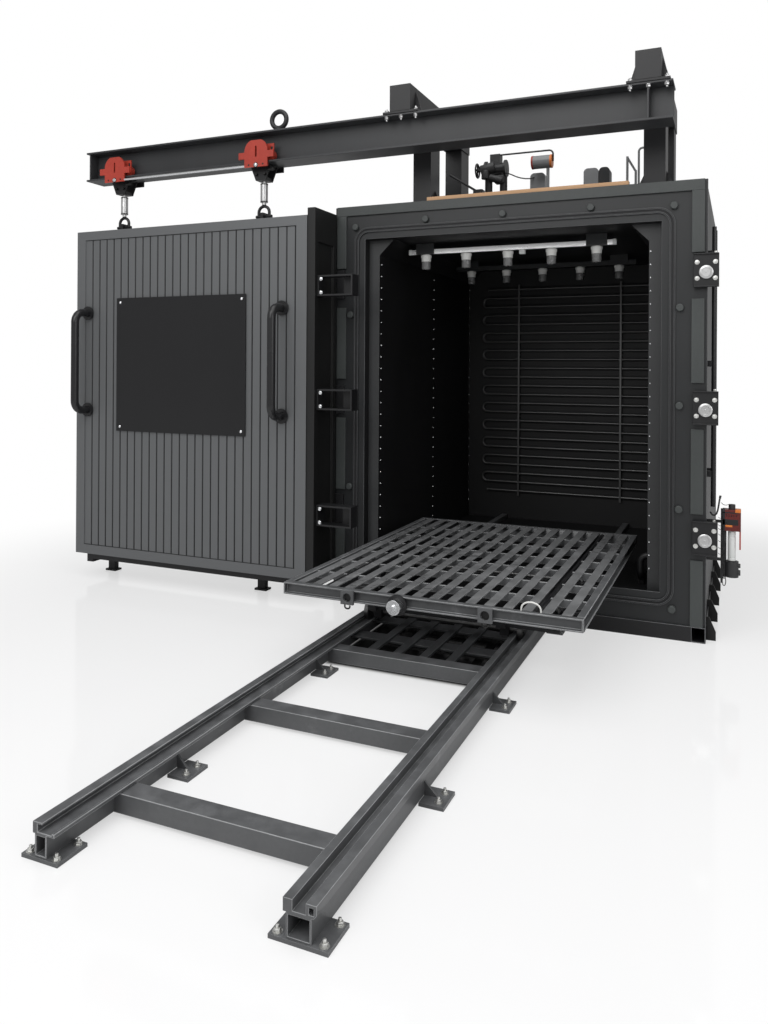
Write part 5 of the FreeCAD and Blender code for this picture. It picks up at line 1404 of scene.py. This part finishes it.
    def service_lines(self) -> None:
        """Thin black lines between the lower clamp and the unit, its spine, loops and short hose."""
        shape = Shape()
        for level in self.line_levels:
            shape.swept([(x, y, level + dz) for x, y, dz in self.line_course], self.line, 8)
        shape.swept(self.wire_path, self.wire, 8)
        shape.swept(self.hose_path, self.hose, 12)
        shape.bar(self.hose_end)
        (x, y), (across, along) = self.loop_middle, self.loop_reach
        for index in range(self.loop_count):
            z = self.loop_first + index * self.loop_pitch
            angles = [math.tau * step / self.loop_steps for step in range(self.loop_steps + 1)]
            shape.swept([(x + across * math.cos(a), y, z + along * math.sin(a)) for a in angles], self.loop, 8)
        shape.box(self.spine_low, self.spine_high, 0.001)
        shape.piece("service_lines", RUBBER, "black_steel")


@dataclass(frozen=True)
class Lamp:
    """A square soft light: where it is, what it points at, its width and its watts."""

    name: str
    place: Point
    target: Point
    size: float
    power: float


@dataclass
class Studio:
    """The pale floor, the soft lights and the camera."""

    camera_place: Point = (1.187, -4.356, 1.357)
    heading: float = 23.57
    roll: float = 0.34
    lens: float = 28.84
    film: float = 36.0
    shift: float = -0.1414
    floor_size: float = 80.0
    floor_tone: Colour = (0.86, 0.86, 0.865)
    shade_tone: Colour = (0.03, 0.03, 0.03)
    world_strength: float = 0.50
    fade: Pair = (2.4, 4.6)
    near_white: float = 0.55
    shade_middle: Pair = (-0.155, -0.25)
    shade_reach: Pair = (0.385, 0.74)
    shade_edge: float = 0.05
    lamps: Sequence[Lamp] = (Lamp("key_light", (-1.5, -6.5, 5.5), (-0.8, 0.0, 1.2), 5.0, 230.0),
                             Lamp("top_light", (0.5, -2.0, 6.5), (0.0, -1.0, 0.0), 6.0, 200.0),
                             Lamp("side_light", (5.5, -4.0, 3.0), (0.5, -0.5, 1.0), 3.0, 80.0))

    def build(self) -> None:
        """Builds the floor, the world, the lamps and the camera."""
        self.floor()
        self.world()
        for lamp in self.lamps:
            self.light(lamp)
        self.camera()

    def floor(self) -> None:
        """A wide flat floor."""
        shape = bmesh.new()
        bmesh.ops.create_grid(shape, x_segments=1, y_segments=1, size=self.floor_size / 2)
        mesh = bpy.data.meshes.new("floor")
        shape.to_mesh(mesh)
        shape.free()
        floor = bpy.data.objects.new("floor", mesh)
        bpy.context.scene.collection.objects.link(floor)
        mesh.materials.append(self.floor_material())

    def floor_material(self) -> bpy.types.Material:
        """A glossy pale floor that fades to the backdrop's white away from the object, with painted shade under
        the bed.

        Returns:
            The material.
        """
        recipe = Recipe("pale_floor")
        recipe.surface(Roughness=0.05 + recipe.noise(3.0, 3.0) * 0.05, Specular_IOR_Level=0.9)
        recipe.bumps(recipe.noise(2.0, 2.0), 0.0004, 0.12)
        distance = recipe.node("ShaderNodeVectorMath", {"operation": "LENGTH"}, {0: recipe.coordinates}, "Value")
        seen = recipe.node("ShaderNodeLightPath", {}, {}, "Is Camera Ray")
        # A dark base colour in a soft rectangle under the bed: painted shade.
        shaded = 1.0
        for axis, (middle, reach) in enumerate(zip(self.shade_middle, self.shade_reach)):
            away = recipe.node("ShaderNodeSeparateXYZ", {}, {0: recipe.coordinates}, axis) - middle
            shaded = shaded * (1.0 - (away * away).step(reach ** 2, (reach + self.shade_edge) ** 2))
        clear = 1.0 - shaded
        recipe.surface(Base_Color=recipe.blend(clear, self.shade_tone, self.floor_tone))
        near = clear * self.near_white
        share = (near + distance.step(*self.fade) * (1.0 - near)) * seen
        white = recipe.node("ShaderNodeEmission", {}, {"Color": WHITE, "Strength": 1.0})
        surface = Wire(recipe, recipe.shader.outputs[0])
        mixer = recipe.node("ShaderNodeMixShader", {}, {0: share, 1: surface, 2: white})
        recipe.tree.links.new(mixer.socket, recipe.tree.nodes["Material Output"].inputs["Surface"])
        return recipe.material

    def world(self) -> None:
        """A soft grey world that the camera sees as white."""
        world = bpy.data.worlds.new("studio")
        bpy.context.scene.world = world
        world.use_nodes = True
        tree = world.node_tree
        back = tree.nodes["Background"]
        white = tree.nodes.new("ShaderNodeBackground")
        for node, strength in ((back, self.world_strength), (white, 1.0)):
            node.inputs["Color"].default_value = WHITE
            node.inputs["Strength"].default_value = strength
        path = tree.nodes.new("ShaderNodeLightPath")
        mixer = tree.nodes.new("ShaderNodeMixShader")
        tree.links.new(path.outputs["Is Camera Ray"], mixer.inputs[0])
        tree.links.new(back.outputs[0], mixer.inputs[1])
        tree.links.new(white.outputs[0], mixer.inputs[2])
        tree.links.new(mixer.outputs[0], tree.nodes["World Output"].inputs[0])

    def light(self, lamp: Lamp) -> None:
        """Adds a square soft light.

        Args:
            lamp: Its name, place, target, size and power.
        """
        data = bpy.data.lights.new(lamp.name, "AREA")
        data.size = lamp.size
        data.energy = lamp.power
        light = bpy.data.objects.new(lamp.name, data)
        light.location = lamp.place
        light.rotation_euler = (Vector(lamp.target) - Vector(lamp.place)).to_track_quat("-Z", "Y").to_euler()
        bpy.context.scene.collection.objects.link(light)

    def camera(self) -> None:
        """The camera at the photograph's place."""
        data = bpy.data.cameras.new("camera")
        data.lens = self.lens
        data.sensor_width = self.film
        data.shift_y = self.shift
        camera = bpy.data.objects.new("camera", data)
        turn = Matrix.Rotation(math.radians(self.heading), 4, "Z") @ Matrix.Rotation(math.radians(90.0), 4, "X")
        roll = Matrix.Rotation(math.radians(self.roll), 4, "Z")
        camera.matrix_world = Matrix.Translation(self.camera_place) @ turn @ roll
        bpy.context.scene.collection.objects.link(camera)
        bpy.context.scene.camera = camera


def main() -> None:
    """Builds every sub-assembly in order."""
    logging.basicConfig(level=logging.INFO, format="%(message)s")
    for kind in (OvenBody, Chamber, Door, Runway, Track, Carriage, Platform, RoofAndSide, ServiceUnit, Studio):
        LOG.info("building %s", kind.__name__)
        kind().build()
    bpy.context.scene.view_settings.view_transform = "Standard"


if __name__ == "__main__":
    main()
